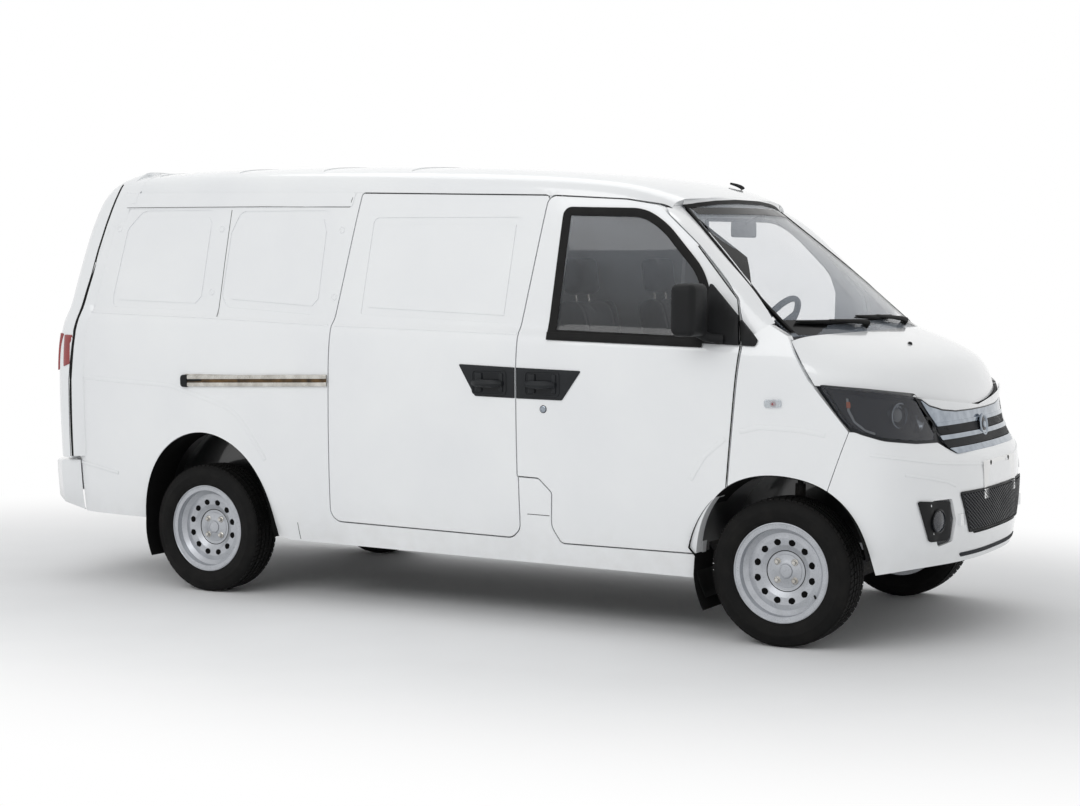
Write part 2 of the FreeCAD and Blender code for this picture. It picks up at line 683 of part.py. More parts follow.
# Windscreen pillars
pillar_rows = [
    # door edge: station, half width, height; screen edge: station, half width, height
    ((-158, 792, 1268), (-52, 745, 1336)),
    ((-196, 775, 1430), (-132, 722, 1444)),
    ((-256, 758, 1516), (-222, 688, 1524)),
    ((-394, 738, 1662), (-366, 627, 1648)),
    ((-526, 722, 1790), (-505, 566, 1776)),
    ((-640, 702, 1838), (-575, 540, 1828)),
]


def pillar_row(door_edge, screen_edge):
    start = Vector(front(door_edge[0]), -door_edge[1], door_edge[2])
    end = Vector(front(screen_edge[0]), -screen_edge[1], screen_edge[2])
    span = end - start
    bulge = Vector(6, -10, 6)
    return [start, start + span * 0.3 + bulge, start + span * 0.7 + bulge, end]


pillar_grid = [pillar_row(*row) for row in pillar_rows]
pillar = panel_solid(pillar_grid, 35, Vector(front(-700), 0, 1200))
pillar = pillar.cut(right_prism(front_door_outline, gap)).cut(flank).cut(screen_zone).cut(roof_zone).cut(wing)
pillar = max(pillar.Solids, key=lambda solid: solid.Volume)
add("screen_pillars", Part.makeCompound([pillar, mirrored(pillar)]))

# Rear bumper
rear_bumper_rows = [
    # height, side half width, corner station, rear plane
    (345, 806, -985, -1010),
    (400, 822, -995, -1026),
    (520, 832, -1000, -1032),
    (590, 834, -998, -1030),
    (608, 834, -990, -1020),
]


def rear_bumper_row(z, half, corner_x, plane_x):
    return [
        (rear(-824), half, z), (rear(-900), half - 2, z), (rear(corner_x), half - 14, z),
        (rear(plane_x), half - 90, z), (rear(plane_x - 6), 480, z), (rear(plane_x - 10), 220, z),
        (rear(plane_x - 10), 0, z),
    ]


rear_bumper = panel_solid(across([rear_bumper_row(*row) for row in rear_bumper_rows]), 60, Vector(rear(0), 0, 480))
towing_hole = Part.makeCylinder(9, 400, Vector(rear(-1200), -400, 500), Vector(1, 0, 0))
floor_rail_end = rear(-860)
for y in (-500, 430):
    rear_bumper = rear_bumper.fuse(box(rear(-990), floor_rail_end - seat, y, y + 70, 500, 556))
add("rear_bumper", rear_bumper.cut(towing_hole))


# Floor, sills, wheel tubs
floor_top = size("floor_height")
floor_under = size("floor_under")
inner_half = half_width - 87
floor = box(rear(-880), front(-330), -inner_half, inner_half, floor_under, floor_top)
tub = arch_prism(rear_arch_points, rear(0), -half_width + 70, -560, 18)
tub = tub.cut(arch_prism(rear_arch_points, rear(0), -half_width - 60, -572, 3))
tub = tub.common(box(rear(-600), rear(700), -half_width, 0, floor_under - 120, 1200))
tub_space = arch_prism(rear_arch_points, rear(0), -half_width - 60, -572, 3)
rail = box(floor_rail_end, front(-420), -500, -430, floor_under - 70, floor_under)
sill = box(rear(470), front(-380), -half_width + 60, -half_width + 170, 300, 410)
sill = sill.fuse(box(rear(470), front(-380), -half_width + 87, -half_width + 170, 300, floor_under))
floor = floor.cut(tub_space).cut(mirrored(tub_space))
for piece in (tub, mirrored(tub), rail, mirrored(rail), sill, mirrored(sill)):
    floor = floor.fuse(piece)
floor = floor.cut(flank).cut(mirrored(flank))
door_room = panel_solid(flank_grid, wall + gap, flank_inside)
floor = floor.cut(door_room).cut(mirrored(door_room))
floor = max(floor.Solids, key=lambda solid: solid.Volume)
fixing = {"centre_x": -1250, "spacing_x": 1000, "spacing_y": 700, "radius": 5}
for x_side in (-0.5, 0.5):
    for y_side in (-0.5, 0.5):
        spot = Vector(fixing["centre_x"] + x_side * fixing["spacing_x"], y_side * fixing["spacing_y"], 500)
        floor = floor.cut(Part.makeCylinder(fixing["radius"], 200, spot))
add("floor_pan", floor)

# Front bulkhead with the front wheel tubs
front_tub = arch_prism(front_arch_points, front(0), -half_width + 85, -395, 20)
front_space = arch_prism(front_arch_points, front(0), -half_width - 60, -407, 5)
tub_foot = 400
front_tub = front_tub.common(box(front(-600), front(356), -half_width, 0, tub_foot, 1200))
cab_floor = box(front(-329), front(260), -440, 440, floor_under, floor_top)
firewall = box(front(240), front(262), -600, 600, floor_under, 1150)
bulkhead = cab_floor.fuse(firewall)
rail_y = size("rail_spread")
front_rail = box(front(-329), beam_face, -rail_y - 28, -rail_y + 28, 480, floor_under)
cross_beam = box(beam_face - 22, beam_face, -rail_y - 28, rail_y + 28, 480, floor_under)
bonnet_post = box(front(150), front(262), -600, -560, 1040, 1320).cut(bonnet_seat)
bonnet_post = min(bonnet_post.Solids, key=lambda solid: solid.CenterOfMass.z)
for piece in (front_tub, mirrored(front_tub), front_rail, mirrored(front_rail), cross_beam):
    bulkhead = bulkhead.fuse(piece)
for piece in (front_space, mirrored(front_space)):
    bulkhead = bulkhead.cut(piece)
bulkhead = bulkhead.cut(floor).cut(flank).cut(mirrored(flank)).cut(bonnet_zone)
bulkhead = bulkhead.fuse(bonnet_post).fuse(mirrored(bonnet_post))
bulkhead = max(bulkhead.Solids, key=lambda solid: solid.Volume)
add("front_bulkhead", bulkhead)


# Pieces built from sketches and primitives, each size an expression on the sheet's words
def bound(text):
    """An expression in the sheet's words made into one that FreeCAD reads."""
    return re.sub(r"[a-z_]{4,}", lambda word: "sizes." + word.group(), str(text))


def new_body(name):
    body = doc.addObject("PartDesign::Body", name)
    body.Label = name
    return body


def plane_sketch(body, role, name):
    plane = next(feature for feature in body.Origin.OriginFeatures if feature.Role == role)
    sketch = body.newObject("Sketcher::SketchObject", name)
    sketch.AttachmentSupport = (plane, "")
    sketch.MapMode = "FlatFace"
    return sketch


def outline_sketch(body, role, name, points):
    """A closed outline whose every corner is held by two dimensions, each an expression."""
    sketch = plane_sketch(body, role, name)
    count = len(points)
    spots = [Vector(k, 1 + k * k, 0) for k in range(count)]
    sketch.addGeometry([Part.LineSegment(spots[k], spots[(k + 1) % count]) for k in range(count)])
    for k in range(count):
        sketch.addConstraint(Sketcher.Constraint("Coincident", k, 2, (k + 1) % count, 1))
    for k, (across_, up) in enumerate(points):
        for kind, start, expression in (("DistanceX", k + 0.5, across_), ("DistanceY", 1 + k * k, up)):
            number = sketch.addConstraint(Sketcher.Constraint(kind, -1, 1, k, 1, float(start)))
            sketch.setExpression(f"Constraints[{number}]", bound(expression))
    return sketch


def place(feature, x, y, z):
    for letter, expression in (("x", x), ("y", y), ("z", z)):
        feature.setExpression(f".Placement.Base.{letter}", bound(expression))


def revolved(name, points, axis="H_Axis", role="YZ_Plane"):
    body = new_body(name)
    section = outline_sketch(body, role, name + "_section", points)
    turned = body.newObject("PartDesign::Revolution", name + "_turned")
    turned.Profile = section
    turned.ReferenceAxis = (section, [axis])
    turned.Angle = 360
    return body


def side_body(name, points, y_from, width):
    """A side outline, x and z, padded to the left from y_from."""
    body = new_body(name)
    section = outline_sketch(body, "XZ_Plane", name + "_section", points)
    pad = body.newObject("PartDesign::Pad", name + "_pad")
    pad.Profile = section
    pad.setExpression("Length", bound(width))
    pad.Reversed = True
    place(body, 0, y_from, 0)
    return body


def block(name, x, y, z, length, width, height):
    feature = doc.addObject("Part::Box", name)
    for dimension, expression in (("Length", length), ("Width", width), ("Height", height)):
        feature.setExpression(dimension, bound(expression))
    place(feature, x, y, z)
    return feature


def rod(name, radius, length, x, y, z, direction):
    feature = doc.addObject("Part::Cylinder", name)
    feature.setExpression("Radius", bound(radius))
    feature.setExpression("Height", bound(length))
    feature.Placement = Placement(Vector(), Rotation(Vector(0, 0, 1), direction))
    place(feature, x, y, z)
    return feature


def joined(name, features):
    fused = doc.addObject("Part::MultiFuse", name)
    fused.Shapes = features
    return fused


def mirror_of(feature):
    copy = doc.addObject("Part::Mirroring", feature.Name + "_mirrored")
    copy.Source = feature
    copy.Normal = Vector(0, 1, 0)
    return copy


def grouped(name, features):
    group = doc.addObject("Part::Compound", name)
    group.Links = features
    return group


def keep(feature, name=None):
    """Counts a feature as a sub-part of the van."""
    feature.Label = name or feature.Name
    sub_parts[feature.Label] = feature
    return feature


# Wheels: half sections, across and radius
tyre_half = [
    ("rim_width / 2 - 10", "rim_radius - 19"), ("rim_width / 2 - 4", "rim_radius + 4"),
    ("tyre_width / 2 - 6.5", "rim_radius + 20"), ("tyre_width / 2", "rim_radius + 47"),
    ("tyre_width / 2 - 2.5", "tyre_radius - 34"), ("tyre_width / 2 - 12.5", "tyre_radius - 14"),
    ("tyre_width / 2 - 28", "tyre_radius - 4"), ("tyre_width / 2 - 62", "tyre_radius"),
]
tyre_section = tyre_half + [(f"-({across_})", radius) for across_, radius in reversed(tyre_half)]
rim_section = [
    ("rim_width / 2", "rim_radius"), ("rim_width / 2 - 4", "rim_radius"),
    ("rim_width / 2 - 7", "rim_radius - 19.3"), ("rim_width / 2 - 34", "rim_radius - 21"),
    ("rim_width / 2 - 46", "rim_radius - 40"), ("-20", "rim_radius - 40"), ("-34", "rim_radius - 21"),
    ("7 - rim_width / 2", "rim_radius - 19.3"), ("4 - rim_width / 2", "rim_radius"),
    ("-rim_width / 2", "rim_radius"), ("2 - rim_width / 2", "rim_radius - 24"), ("-36", "rim_radius - 27"),
    ("-24", "rim_radius - 46"), ("6", "rim_radius - 46"), ("24", "138"), ("22", "114"), ("6", "86"),
    ("4", "30"), ("12", "30"), ("14", "82"), ("30", "110"), ("34", "140"), ("31", "rim_radius - 46"),
    ("47", "rim_radius - 27"), ("rim_width / 2 - 2", "rim_radius - 24"),
]
vent_holes = {"count": 12, "radius": 12.5, "circle": 126}
for axle in ("front", "rear"):
    for side, turn, sign in (("right", 180, "-"), ("left", 0, "")):
        tyre = revolved(f"tyre_{axle}_{side}", tyre_section)
        rim = revolved(f"rim_{axle}_{side}", rim_section)
        holes = plane_sketch(rim, "XZ_Plane", rim.Name + "_holes")
        for k in range(vent_holes["count"]):
            angle = 2 * math.pi * (k + 0.5) / vent_holes["count"]
            middle = Vector(math.cos(angle), math.sin(angle), 0) * vent_holes["circle"]
            holes.addGeometry(Part.Circle(middle, Vector(0, 0, 1), vent_holes["radius"]))
        vents = rim.newObject("PartDesign::Pocket", rim.Name + "_vents")
        vents.Profile = holes
        vents.Midplane = True
        vents.Length = 100
        for body in (tyre, rim):
            body.Placement = Placement(Vector(), Rotation(Vector(0, 0, 1), turn))
            place(body, f"{axle}_axle_x", f"{sign}wheel_y", "tyre_radius")
            keep(body)

# Knuckles, each a hub spindle through an upright at the kingpin
knuckle_top = 430
knuckle_foot = 190
for side, sign in (("right", -1), ("left", 1)):
    spindle_start = "-(wheel_y + 4 - seat_gap)" if sign < 0 else "570"
    spindle = rod(f"spindle_{side}", "hub_radius", "wheel_y + 4 - seat_gap - 570", "front_axle_x",
                  spindle_start, "tyre_radius", Vector(0, 1, 0))
    upright = block(f"upright_{side}", "front_axle_x - 28", -665 if sign < 0 else 570, knuckle_foot, 56, 95,
                    knuckle_top - knuckle_foot)
    keep(joined(f"knuckle_{side}", [spindle, upright]))

# Front suspension: cross member under the front rails, lower arms, struts
cross_member = block("cross_member", "front_axle_x - 60", "-rail_spread - 30", 190, 120, "2 * (rail_spread + 30)", 70)
hangers = block("member_hanger", "front_axle_x - 50", "-rail_spread - 24", 250, 100, 48, f"{tub_foot - 250} - seat_gap")
lower_arm = block("lower_arm", "front_axle_x - 32", -665, 160, 64, "665 - rail_spread + 10", f"{knuckle_foot - 160} - seat_gap")
strut_foot = rod("strut_foot", 30, 40, "front_axle_x", -600, f"{knuckle_top} + seat_gap", Vector(0, 0, 1))
strut_lean = Vector(-10, 40, 240)
strut_body = rod("strut_body", 22, 210, "front_axle_x - 1", -597, knuckle_top + 20, strut_lean)
strut_rod = rod("strut_rod", 12, 265, "front_axle_x - 1", -597, knuckle_top + 20, strut_lean)
strut = joined("strut", [strut_foot, strut_body, strut_rod])
member = joined("front_member", [cross_member, hangers, mirror_of(hangers), lower_arm, mirror_of(lower_arm)])
keep(grouped("front_suspension", [member, strut, mirror_of(strut)]))

# Rear axle with propeller shaft, leaf springs with their hangers
axle_tube = rod("axle_tube", "hub_radius", "2 * (wheel_y + 4 - seat_gap)", "rear_axle_x", "-(wheel_y + 4 - seat_gap)",
                "tyre_radius", Vector(0, 1, 0))
differential = doc.addObject("Part::Sphere", "differential")
differential.Radius = 120
place(differential, "rear_axle_x", 0, "tyre_radius")
engine_rear = "front_axle_x - 1000"
shaft_run = Vector(size("wheelbase") - 1000 - 60, 0, 80)
shaft = rod("propeller_shaft", 30, shaft_run.Length - 1.3 - seat, "rear_axle_x + 60", 0, "tyre_radius + 10", shaft_run)
keep(joined("rear_axle", [axle_tube, differential, shaft]))
spring_leaf = side_body("spring_leaf", [
    ("rear_axle_x - 590", 392), ("rear_axle_x - 560", 402), ("rear_axle_x - 330", 316),
    ("rear_axle_x - 90", "tyre_radius - hub_radius - seat_gap"), ("rear_axle_x + 90", "tyre_radius - hub_radius - seat_gap"),
    ("rear_axle_x + 330", 312), ("rear_axle_x + 590", 396), ("rear_axle_x + 620", 384), ("rear_axle_x + 340", 292),
    ("rear_axle_x + 240", 252), ("rear_axle_x + 90", 232), ("rear_axle_x - 90", 232), ("rear_axle_x - 240", 254),
    ("rear_axle_x - 340", 296),
], -500, 64)
rear_hanger = block("spring_rear_hanger", "rear_axle_x - 600", -494, 384, 44, 52, f"{490 - 384} - seat_gap")
front_hanger = block("spring_front_hanger", "rear_axle_x + 560", -494, 376, 60, 52, f"{490 - 376} - seat_gap")
spring = joined("leaf_spring", [spring_leaf, rear_hanger, front_hanger])
keep(grouped("leaf_springs", [spring, mirror_of(spring)]))

# Engine with gearbox as one block, fuel tank, exhaust
keep(block("engine", engine_rear, -230, 255, 520, 460, "floor_under - seat_gap - 255"))
keep(side_body("fuel_tank", [
    ("rear_axle_x + 720", 350), ("rear_axle_x + 760", 320), ("rear_axle_x + 1320", 320), ("rear_axle_x + 1360", 350),
    ("rear_axle_x + 1360", "floor_under - seat_gap"), ("rear_axle_x + 720", "floor_under - seat_gap"),
], -420, 340))
silencer = rod("silencer", 85, 480, "rear_axle_x + 520", 240, 425, Vector(1, 0, 0))
front_pipe = rod("front_pipe", 24, "wheelbase - 1980 - seat_gap", "rear_axle_x + 980", 240, 425, Vector(1, 0, 0))
tail_pipe = rod("tail_pipe", 22, 1370, "rear_axle_x - 840", 240, 455, Vector(1, 0, 0))
pipe_hangers = [
    block(f"pipe_hanger_{k}", f"rear_axle_x + {x}", 232, 440, 20, 16, "floor_under - seat_gap - 440")
    for k, x in enumerate((-700, 540, 960, 1900))
]
keep(joined("exhaust", [silencer, front_pipe, tail_pipe] + pipe_hangers))

# Front seats: base, cushion, back and head restraint in one side outline each
seat_base = block("seat_base", "front_axle_x - 1000", "-seat_spread - 200", "floor_height + seat_gap", 420, 400, 240)
cushion = side_body("seat_cushion", [
    ("front_axle_x - 1040", 800), ("front_axle_x - 560", 840), ("front_axle_x - 530", 880), ("front_axle_x - 545", 930),
    ("front_axle_x - 600", 945), ("front_axle_x - 980", 900), ("front_axle_x - 1110", 1400),
    ("front_axle_x - 1150", 1440), ("front_axle_x - 1190", 1430), ("front_axle_x - 1195", 1380), ("front_axle_x - 1100", 860),
], "-seat_spread - 240", 480)
head_restraint = block("head_restraint", "front_axle_x - 1200", "-seat_spread - 130", 1425, 90, 260, 190)
front_seat = joined("front_seat", [seat_base, cushion, head_restraint])
keep(grouped("front_seats", [front_seat, mirror_of(front_seat)]))

# Dashboard with its console and the steering column
column_lean = math.radians(35)
to_driver = Vector(-math.cos(column_lean), 0, math.sin(column_lean))
hand_wheel_centre = Vector(front(-540), 380, 1265)
dash = side_body("dash_board", [
    ("front_axle_x + 40", 1235), ("front_axle_x - 40", 1262), ("front_axle_x - 150", 1246), ("front_axle_x - 225", 1190),
    ("front_axle_x - 248", 1100), ("front_axle_x - 200", 930), ("front_axle_x - 120", 850), ("front_axle_x + 60", 850),
], -690, 1380)
console = block("console", "front_axle_x - 210", -110, "floor_height + seat_gap", 230, 220, 300)
column_foot = hand_wheel_centre - to_driver * 420
column = rod("steering_column", 26, 420 - 30, column_foot.x, column_foot.y, column_foot.z, to_driver)
keep(joined("dashboard", [dash, console, column]))

# Steering wheel, its rim a torus, one hub and three spokes
hand_rim = doc.addObject("Part::Torus", "hand_rim")
hand_rim.Radius1 = 185
hand_rim.Radius2 = 14
hand_rim.Placement = Placement(hand_wheel_centre, Rotation(Vector(0, 0, 1), to_driver))
hub_start = hand_wheel_centre - to_driver * (30 - seat)
hand_hub = rod("hand_hub", 62, 40, hub_start.x, hub_start.y, hub_start.z, to_driver)
spokes = []
for k, angle in enumerate((0, 90, 180)):
    spoke = doc.addObject("Part::Box", f"hand_spoke_{k}")
    spoke.Length, spoke.Width, spoke.Height = 186, 40, 14
    turn = Rotation(Vector(0, 0, 1), to_driver).multiply(Rotation(Vector(0, 0, 1), angle + 90))
    spoke.Placement = Placement(hand_wheel_centre, turn).multiply(Placement(Vector(0, -20, -14), Rotation()))
    spokes.append(spoke)
keep(joined("steering_wheel", [hand_rim, hand_hub] + spokes))

# Mirrors
mirror_body = box(front(-400), front(-285), -1030, -865, 1300, 1500)
mirror_body = mirror_body.makeFillet(35, mirror_body.Edges)
mirror_arm = bar(Vector(front(-330), -900, 1310), Vector(front(-262), -806, 1275), 16)
sail_slab = panel_solid(flank_grid, 8, flank_inside, -8.3)
sail = sail_slab.common(right_prism([(front(-342), 1256, 4), (front(-210), 1250, 4), (front(-232), 1290, 4), (front(-330), 1440, 8)]))
mirror = mirror_body.fuse(mirror_arm).fuse(sail)
mirror = max(mirror.cut(door).cut(door_glass).Solids, key=lambda solid: solid.Volume)
add("mirror_right", mirror)
add("mirror_left", mirrored(mirror))

# Tail lamps
lamp_skin = panel_solid(tailgate_grid, 14, cabin_middle, -8)
tail_lamp = lamp_skin.common(rear_prism(tail_lamp_outline, *lamp_span))
add("tail_lamps", Part.makeCompound([tail_lamp, mirrored(tail_lamp)]))

# Door rails
rail_skin = panel_solid(flank_grid, 6, flank_inside, -6.3)
rail_strip = rail_skin.common(right_prism([(rear(-85), 1030, 12), (sliding_rear_x - 8, 1024, 2), (sliding_rear_x - 8, 1066, 2), (rear(-85), 1062, 12)]))
add("door_rails", Part.makeCompound([rail_strip, mirrored(rail_strip)]))

# Wipers, each a spindle on the foot of the windscreen, an arm and a blade along the glass
screen_skin = spline_surface(screen_grid)


def on_screen(y, z, off):
    """The point that stands off the windscreen's outer skin at a side place and a height."""
    across_glass = Part.Line(Vector(front(-300), y, z), Vector(front(400), y, z))
    spot = across_glass.intersectCS(screen_skin)[0][0]
    point = Vector(spot.X, spot.Y, spot.Z)
    normal = screen_skin.normal(*screen_skin.parameter(point))
    if normal.x < 0:
        normal = -normal
    return point + normal * off


wiper_layouts = [
    # spindle side place and height, blade from its inner to its outer end
    {"spindle": (-250, 1310), "blade": [(-300, 1322), (-430, 1324), (-560, 1326), (-670, 1330)]},
    {"spindle": (230, 1310), "blade": [(110, 1338), (-20, 1336), (-150, 1338), (-270, 1344)]},
]
wipers = []
for layout in wiper_layouts:
    spindle_foot = on_screen(*layout["spindle"], seat)
    spindle_head = on_screen(*layout["spindle"], 20)
    blade_points = [on_screen(y, z, 9) for y, z in layout["blade"]]
    blade_middle = (blade_points[1] + blade_points[2]) * 0.5
    wiper = bar(spindle_foot, spindle_head, 10).fuse(bar(spindle_head, blade_middle, 5))
    for start, end in zip(blade_points, blade_points[1:]):
        wiper = wiper.fuse(bar(start, end, 5))
    wipers.append(wiper)
add("wipers", Part.makeCompound(wipers))

doc.recompute()
for feature in doc.Objects:
    if "Invalid" in feature.State or "Error" in feature.State:
        raise RuntimeError(f"{feature.Label} is {feature.State}")
for name, feature in sub_parts.items():
    shape = feature.Shape
    if shape.isNull() or not shape.isValid() or not shape.Solids:
        raise RuntimeError(f"{name} has no valid solid")
    print(f"{name}: {len(shape.Solids)} solid(s), {shape.Volume / 1e6:.2f} litres")
os.makedirs("parts", exist_ok=True)
for name, feature in sub_parts.items():
    feature.Shape.exportStep(f"parts/{name}.step")
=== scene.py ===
import bpy
import bmesh
import json
import math
import numpy
from mathutils import Matrix, Vector
from mathutils.bvhtree import BVHTree

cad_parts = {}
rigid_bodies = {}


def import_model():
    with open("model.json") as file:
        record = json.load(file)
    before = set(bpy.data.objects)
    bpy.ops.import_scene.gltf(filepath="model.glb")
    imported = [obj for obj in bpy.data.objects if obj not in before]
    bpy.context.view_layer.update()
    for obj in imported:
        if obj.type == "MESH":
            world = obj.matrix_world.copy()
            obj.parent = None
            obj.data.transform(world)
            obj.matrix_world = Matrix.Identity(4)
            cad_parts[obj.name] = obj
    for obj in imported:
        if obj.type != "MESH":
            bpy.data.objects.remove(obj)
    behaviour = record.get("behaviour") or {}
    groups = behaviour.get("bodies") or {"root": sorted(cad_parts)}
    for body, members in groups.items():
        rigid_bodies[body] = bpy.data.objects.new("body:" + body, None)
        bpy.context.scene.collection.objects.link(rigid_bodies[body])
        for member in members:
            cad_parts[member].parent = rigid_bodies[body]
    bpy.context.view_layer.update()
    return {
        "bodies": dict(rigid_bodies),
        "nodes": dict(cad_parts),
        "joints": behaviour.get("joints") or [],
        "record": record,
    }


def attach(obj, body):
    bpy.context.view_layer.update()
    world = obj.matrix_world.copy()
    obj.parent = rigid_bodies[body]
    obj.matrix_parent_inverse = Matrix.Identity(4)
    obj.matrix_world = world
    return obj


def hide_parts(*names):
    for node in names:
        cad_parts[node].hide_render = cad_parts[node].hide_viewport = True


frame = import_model()
nodes = frame["nodes"]
grilleNodes = [name for name in nodes if "grille" in name]

# Stations of the axles and the wheels' middle planes, in metres
frontAxle = 1.68
rearAxle = -1.32
wheelSide = 0.724
wheelHeight = 0.31
sides = {"right": -1, "left": 1}


def front(x):
    return frontAxle + x


def rear(x):
    return rearAxle + x


# Colours and materials. Object coordinates are metres in the van's own frame, so a pattern's
# scale is 1000 over its size in millimetres.
def colour(text, share=1.0):
    parts = [int(text[k:k + 2], 16) / 255 for k in (1, 3, 5)]
    linear = [c / 12.92 if c <= 0.04045 else ((c + 0.055) / 1.055) ** 2.4 for c in parts]
    return (*(share * c for c in linear), 1.0)


# Sets a node's properties, or its sockets by name or number, and links sockets from (node, output)
def setNode(node, settings=None, links=None):
    for name, value in (settings or {}).items():
        if isinstance(name, int) or name in node.inputs:
            node.inputs[name].default_value = value
        else:
            setattr(node, name, value)
    for name, (source, output) in (links or {}).items():
        node.id_data.links.new(source.outputs[output], node.inputs[name])
    return node


def addNode(tree, kind, settings=None, links=None):
    return setNode(tree.nodes.new(kind), settings, links)


def position(tree, scale=(1, 1, 1)):
    place = addNode(tree, "ShaderNodeTexCoord")
    return addNode(tree, "ShaderNodeMapping", {"Scale": scale}, {"Vector": (place, "Object")})


# Patches: a noise whose values from low to high are spread over 0 to 1
def speckle(tree, vector, scale, detail, low, high):
    grain = addNode(tree, "ShaderNodeTexNoise", {"Scale": scale, "Detail": detail},
                    {"Vector": (vector, "Vector")})
    return addNode(tree, "ShaderNodeMapRange", {"From Min": low, "From Max": high}, {"Value": (grain, "Fac")})


# Starts a material whose base colour runs in patches between two tones, the second one darker by
# default. A colour Mix node has its factor in socket 0, its colours in 6 and 7 and gives output 2.
def twoTone(name, base, shade=None, scale=9.0, detail=5.0, low=0.3, high=0.7):
    material = bpy.data.materials.new(name)
    material.use_nodes = True
    tree = material.node_tree
    vector = position(tree)
    tone = speckle(tree, vector, scale, detail, low, high)
    tones = {"data_type": "RGBA", 6: colour(base), 7: colour(shade) if shade else colour(base, 0.8)}
    body = addNode(tree, "ShaderNodeMix", tones, {0: (tone, "Result")})
    shader = setNode(tree.nodes["Principled BSDF"], links={"Base Color": (body, 2)})
    return material, tree, shader, vector, tone, body


# Two-coat car paint: solid white under clear lacquer, so sharp reflections over a soft body,
# with orange peel in the lacquer and road dust low down
def paint(name, base, shade, dusty=True):
    material, tree, shader, vector, _, body = twoTone(name, base, shade, 2.2, 4.0)
    peel = addNode(tree, "ShaderNodeTexNoise", {"Scale": 420.0, "Detail": 2.0},
                   {"Vector": (vector, "Vector")})
    wave = addNode(tree, "ShaderNodeBump", {"Strength": 0.5, "Distance": 0.00004}, {"Height": (peel, "Fac")})
    setNode(shader, {"Roughness": 0.3, "Coat Weight": 1.0, "Coat Roughness": 0.04, "Coat IOR": 1.5},
            {"Coat Normal": (wave, "Normal")})
    if dusty:
        split = addNode(tree, "ShaderNodeSeparateXYZ", links={"Vector": (vector, "Vector")})
        low = addNode(tree, "ShaderNodeMapRange", {"From Min": 0.50, "From Max": 0.24, "To Max": 0.22},
                      {"Value": (split, "Z")})
        patches = speckle(tree, vector, 14.0, 6.0, 0.35, 0.75)
        dust = addNode(tree, "ShaderNodeMath", {"operation": "MULTIPLY"},
                       {0: (low, "Result"), 1: (patches, "Result")})
        soiled = addNode(tree, "ShaderNodeMix", {"data_type": "RGBA", 7: colour("#B9B6AE")},
                         {0: (dust, "Value"), 6: (body, 2)})
        rough = addNode(tree, "ShaderNodeMapRange", {"To Min": 0.30, "To Max": 0.55},
                        {"Value": (dust, "Value")})
        setNode(shader, links={"Base Color": (soiled, 2), "Roughness": (rough, "Result")})
    return material


# Injection-moulded polypropylene or ABS: a fine cast grain and a little wear in its tone
def moulded(name, base, shade, roughness=0.55, grainMm=1.1, grainDepth=0.00012):
    material, tree, shader, vector, tone, _ = twoTone(name, base, shade, 9.0)
    cells = addNode(tree, "ShaderNodeTexVoronoi", {"Scale": 1000 / grainMm}, {"Vector": (vector, "Vector")})
    leather = addNode(tree, "ShaderNodeBump", {"Strength": 0.6, "Distance": grainDepth},
                      {"Height": (cells, "Distance")})
    rough = addNode(tree, "ShaderNodeMapRange", {"To Min": roughness - 0.08, "To Max": roughness + 0.08},
                    {"Value": (tone, "Result")})
    setNode(shader, {"Specular IOR Level": 0.22},
            {"Normal": (leather, "Normal"), "Roughness": (rough, "Result")})
    return material


# Bright, painted or cast metal: small tone changes and fine scuffs in its roughness
def metal(name, base, shade, roughness, metallic=1.0, scuffMm=4.0):
    material, tree, shader, vector, _, _ = twoTone(name, base, shade, 22.0)
    scuff = speckle(tree, vector, 1000 / scuffMm, 6.0, 0.3, 0.7)
    rough = addNode(tree, "ShaderNodeMapRange", {"To Min": roughness * 0.8, "To Max": roughness * 1.3},
                    {"Value": (scuff, "Result")})
    fine = addNode(tree, "ShaderNodeBump", {"Strength": 0.4, "Distance": 0.00003},
                   {"Height": (scuff, "Result")})
    setNode(shader, {"Metallic": metallic}, {"Roughness": (rough, "Result"), "Normal": (fine, "Normal")})
    return material


# Toughened window glass: clear when met square on, a mirror at a glancing angle, faint dust, and a base
# colour that runs lighter higher up as a painted reflection of the sky
def glazing(name, tint, paintedReflectionTint, clearness, edge=0.75, blend=0.10):
    material, tree, shader, vector, _, body = twoTone(name, tint, None, 6.0, 8.0, 0.45, 0.95)
    split = addNode(tree, "ShaderNodeSeparateXYZ", links={"Vector": (vector, "Vector")})
    # Painted reflection: from 1.27 to 1.80 m up the colour goes from the tint to the lighter high tint,
    # standing for the sky mirrored in the glass
    high = addNode(tree, "ShaderNodeMapRange", {"From Min": 1.27, "From Max": 1.80}, {"Value": (split, "Z")})
    paintedSkyReflection = addNode(tree, "ShaderNodeMix", {"data_type": "RGBA", 6: colour(tint), 7: colour(paintedReflectionTint)},
                  {0: (high, "Result")})
    setNode(body, links={6: (paintedSkyReflection, 2)})
    glance = addNode(tree, "ShaderNodeLayerWeight", {"Blend": blend})
    alpha = addNode(tree, "ShaderNodeMapRange", {"To Min": 1 - clearness, "To Max": edge},
                    {"Value": (glance, "Facing")})
    setNode(shader, {"Roughness": 0.02, "IOR": 1.5, "Coat Weight": 1.0, "Coat Roughness": 0.01},
            {"Alpha": (alpha, "Result")})
    return material


# Vulcanised rubber: matt, dusty in patches, with a fine moulded skin
def rubber(name, base, shade, roughness=0.75):
    material, tree, shader, vector, _, _ = twoTone(name, base, shade, 18.0, 8.0, 0.42, 0.75)
    grain = addNode(tree, "ShaderNodeTexNoise", {"Scale": 700.0, "Detail": 3.0},
                    {"Vector": (vector, "Vector")})
    skin = addNode(tree, "ShaderNodeBump", {"Strength": 0.5, "Distance": 0.00015}, {"Height": (grain, "Fac")})
    setNode(shader, {"Roughness": roughness, "Specular IOR Level": 0.2}, {"Normal": (skin, "Normal")})
    return material


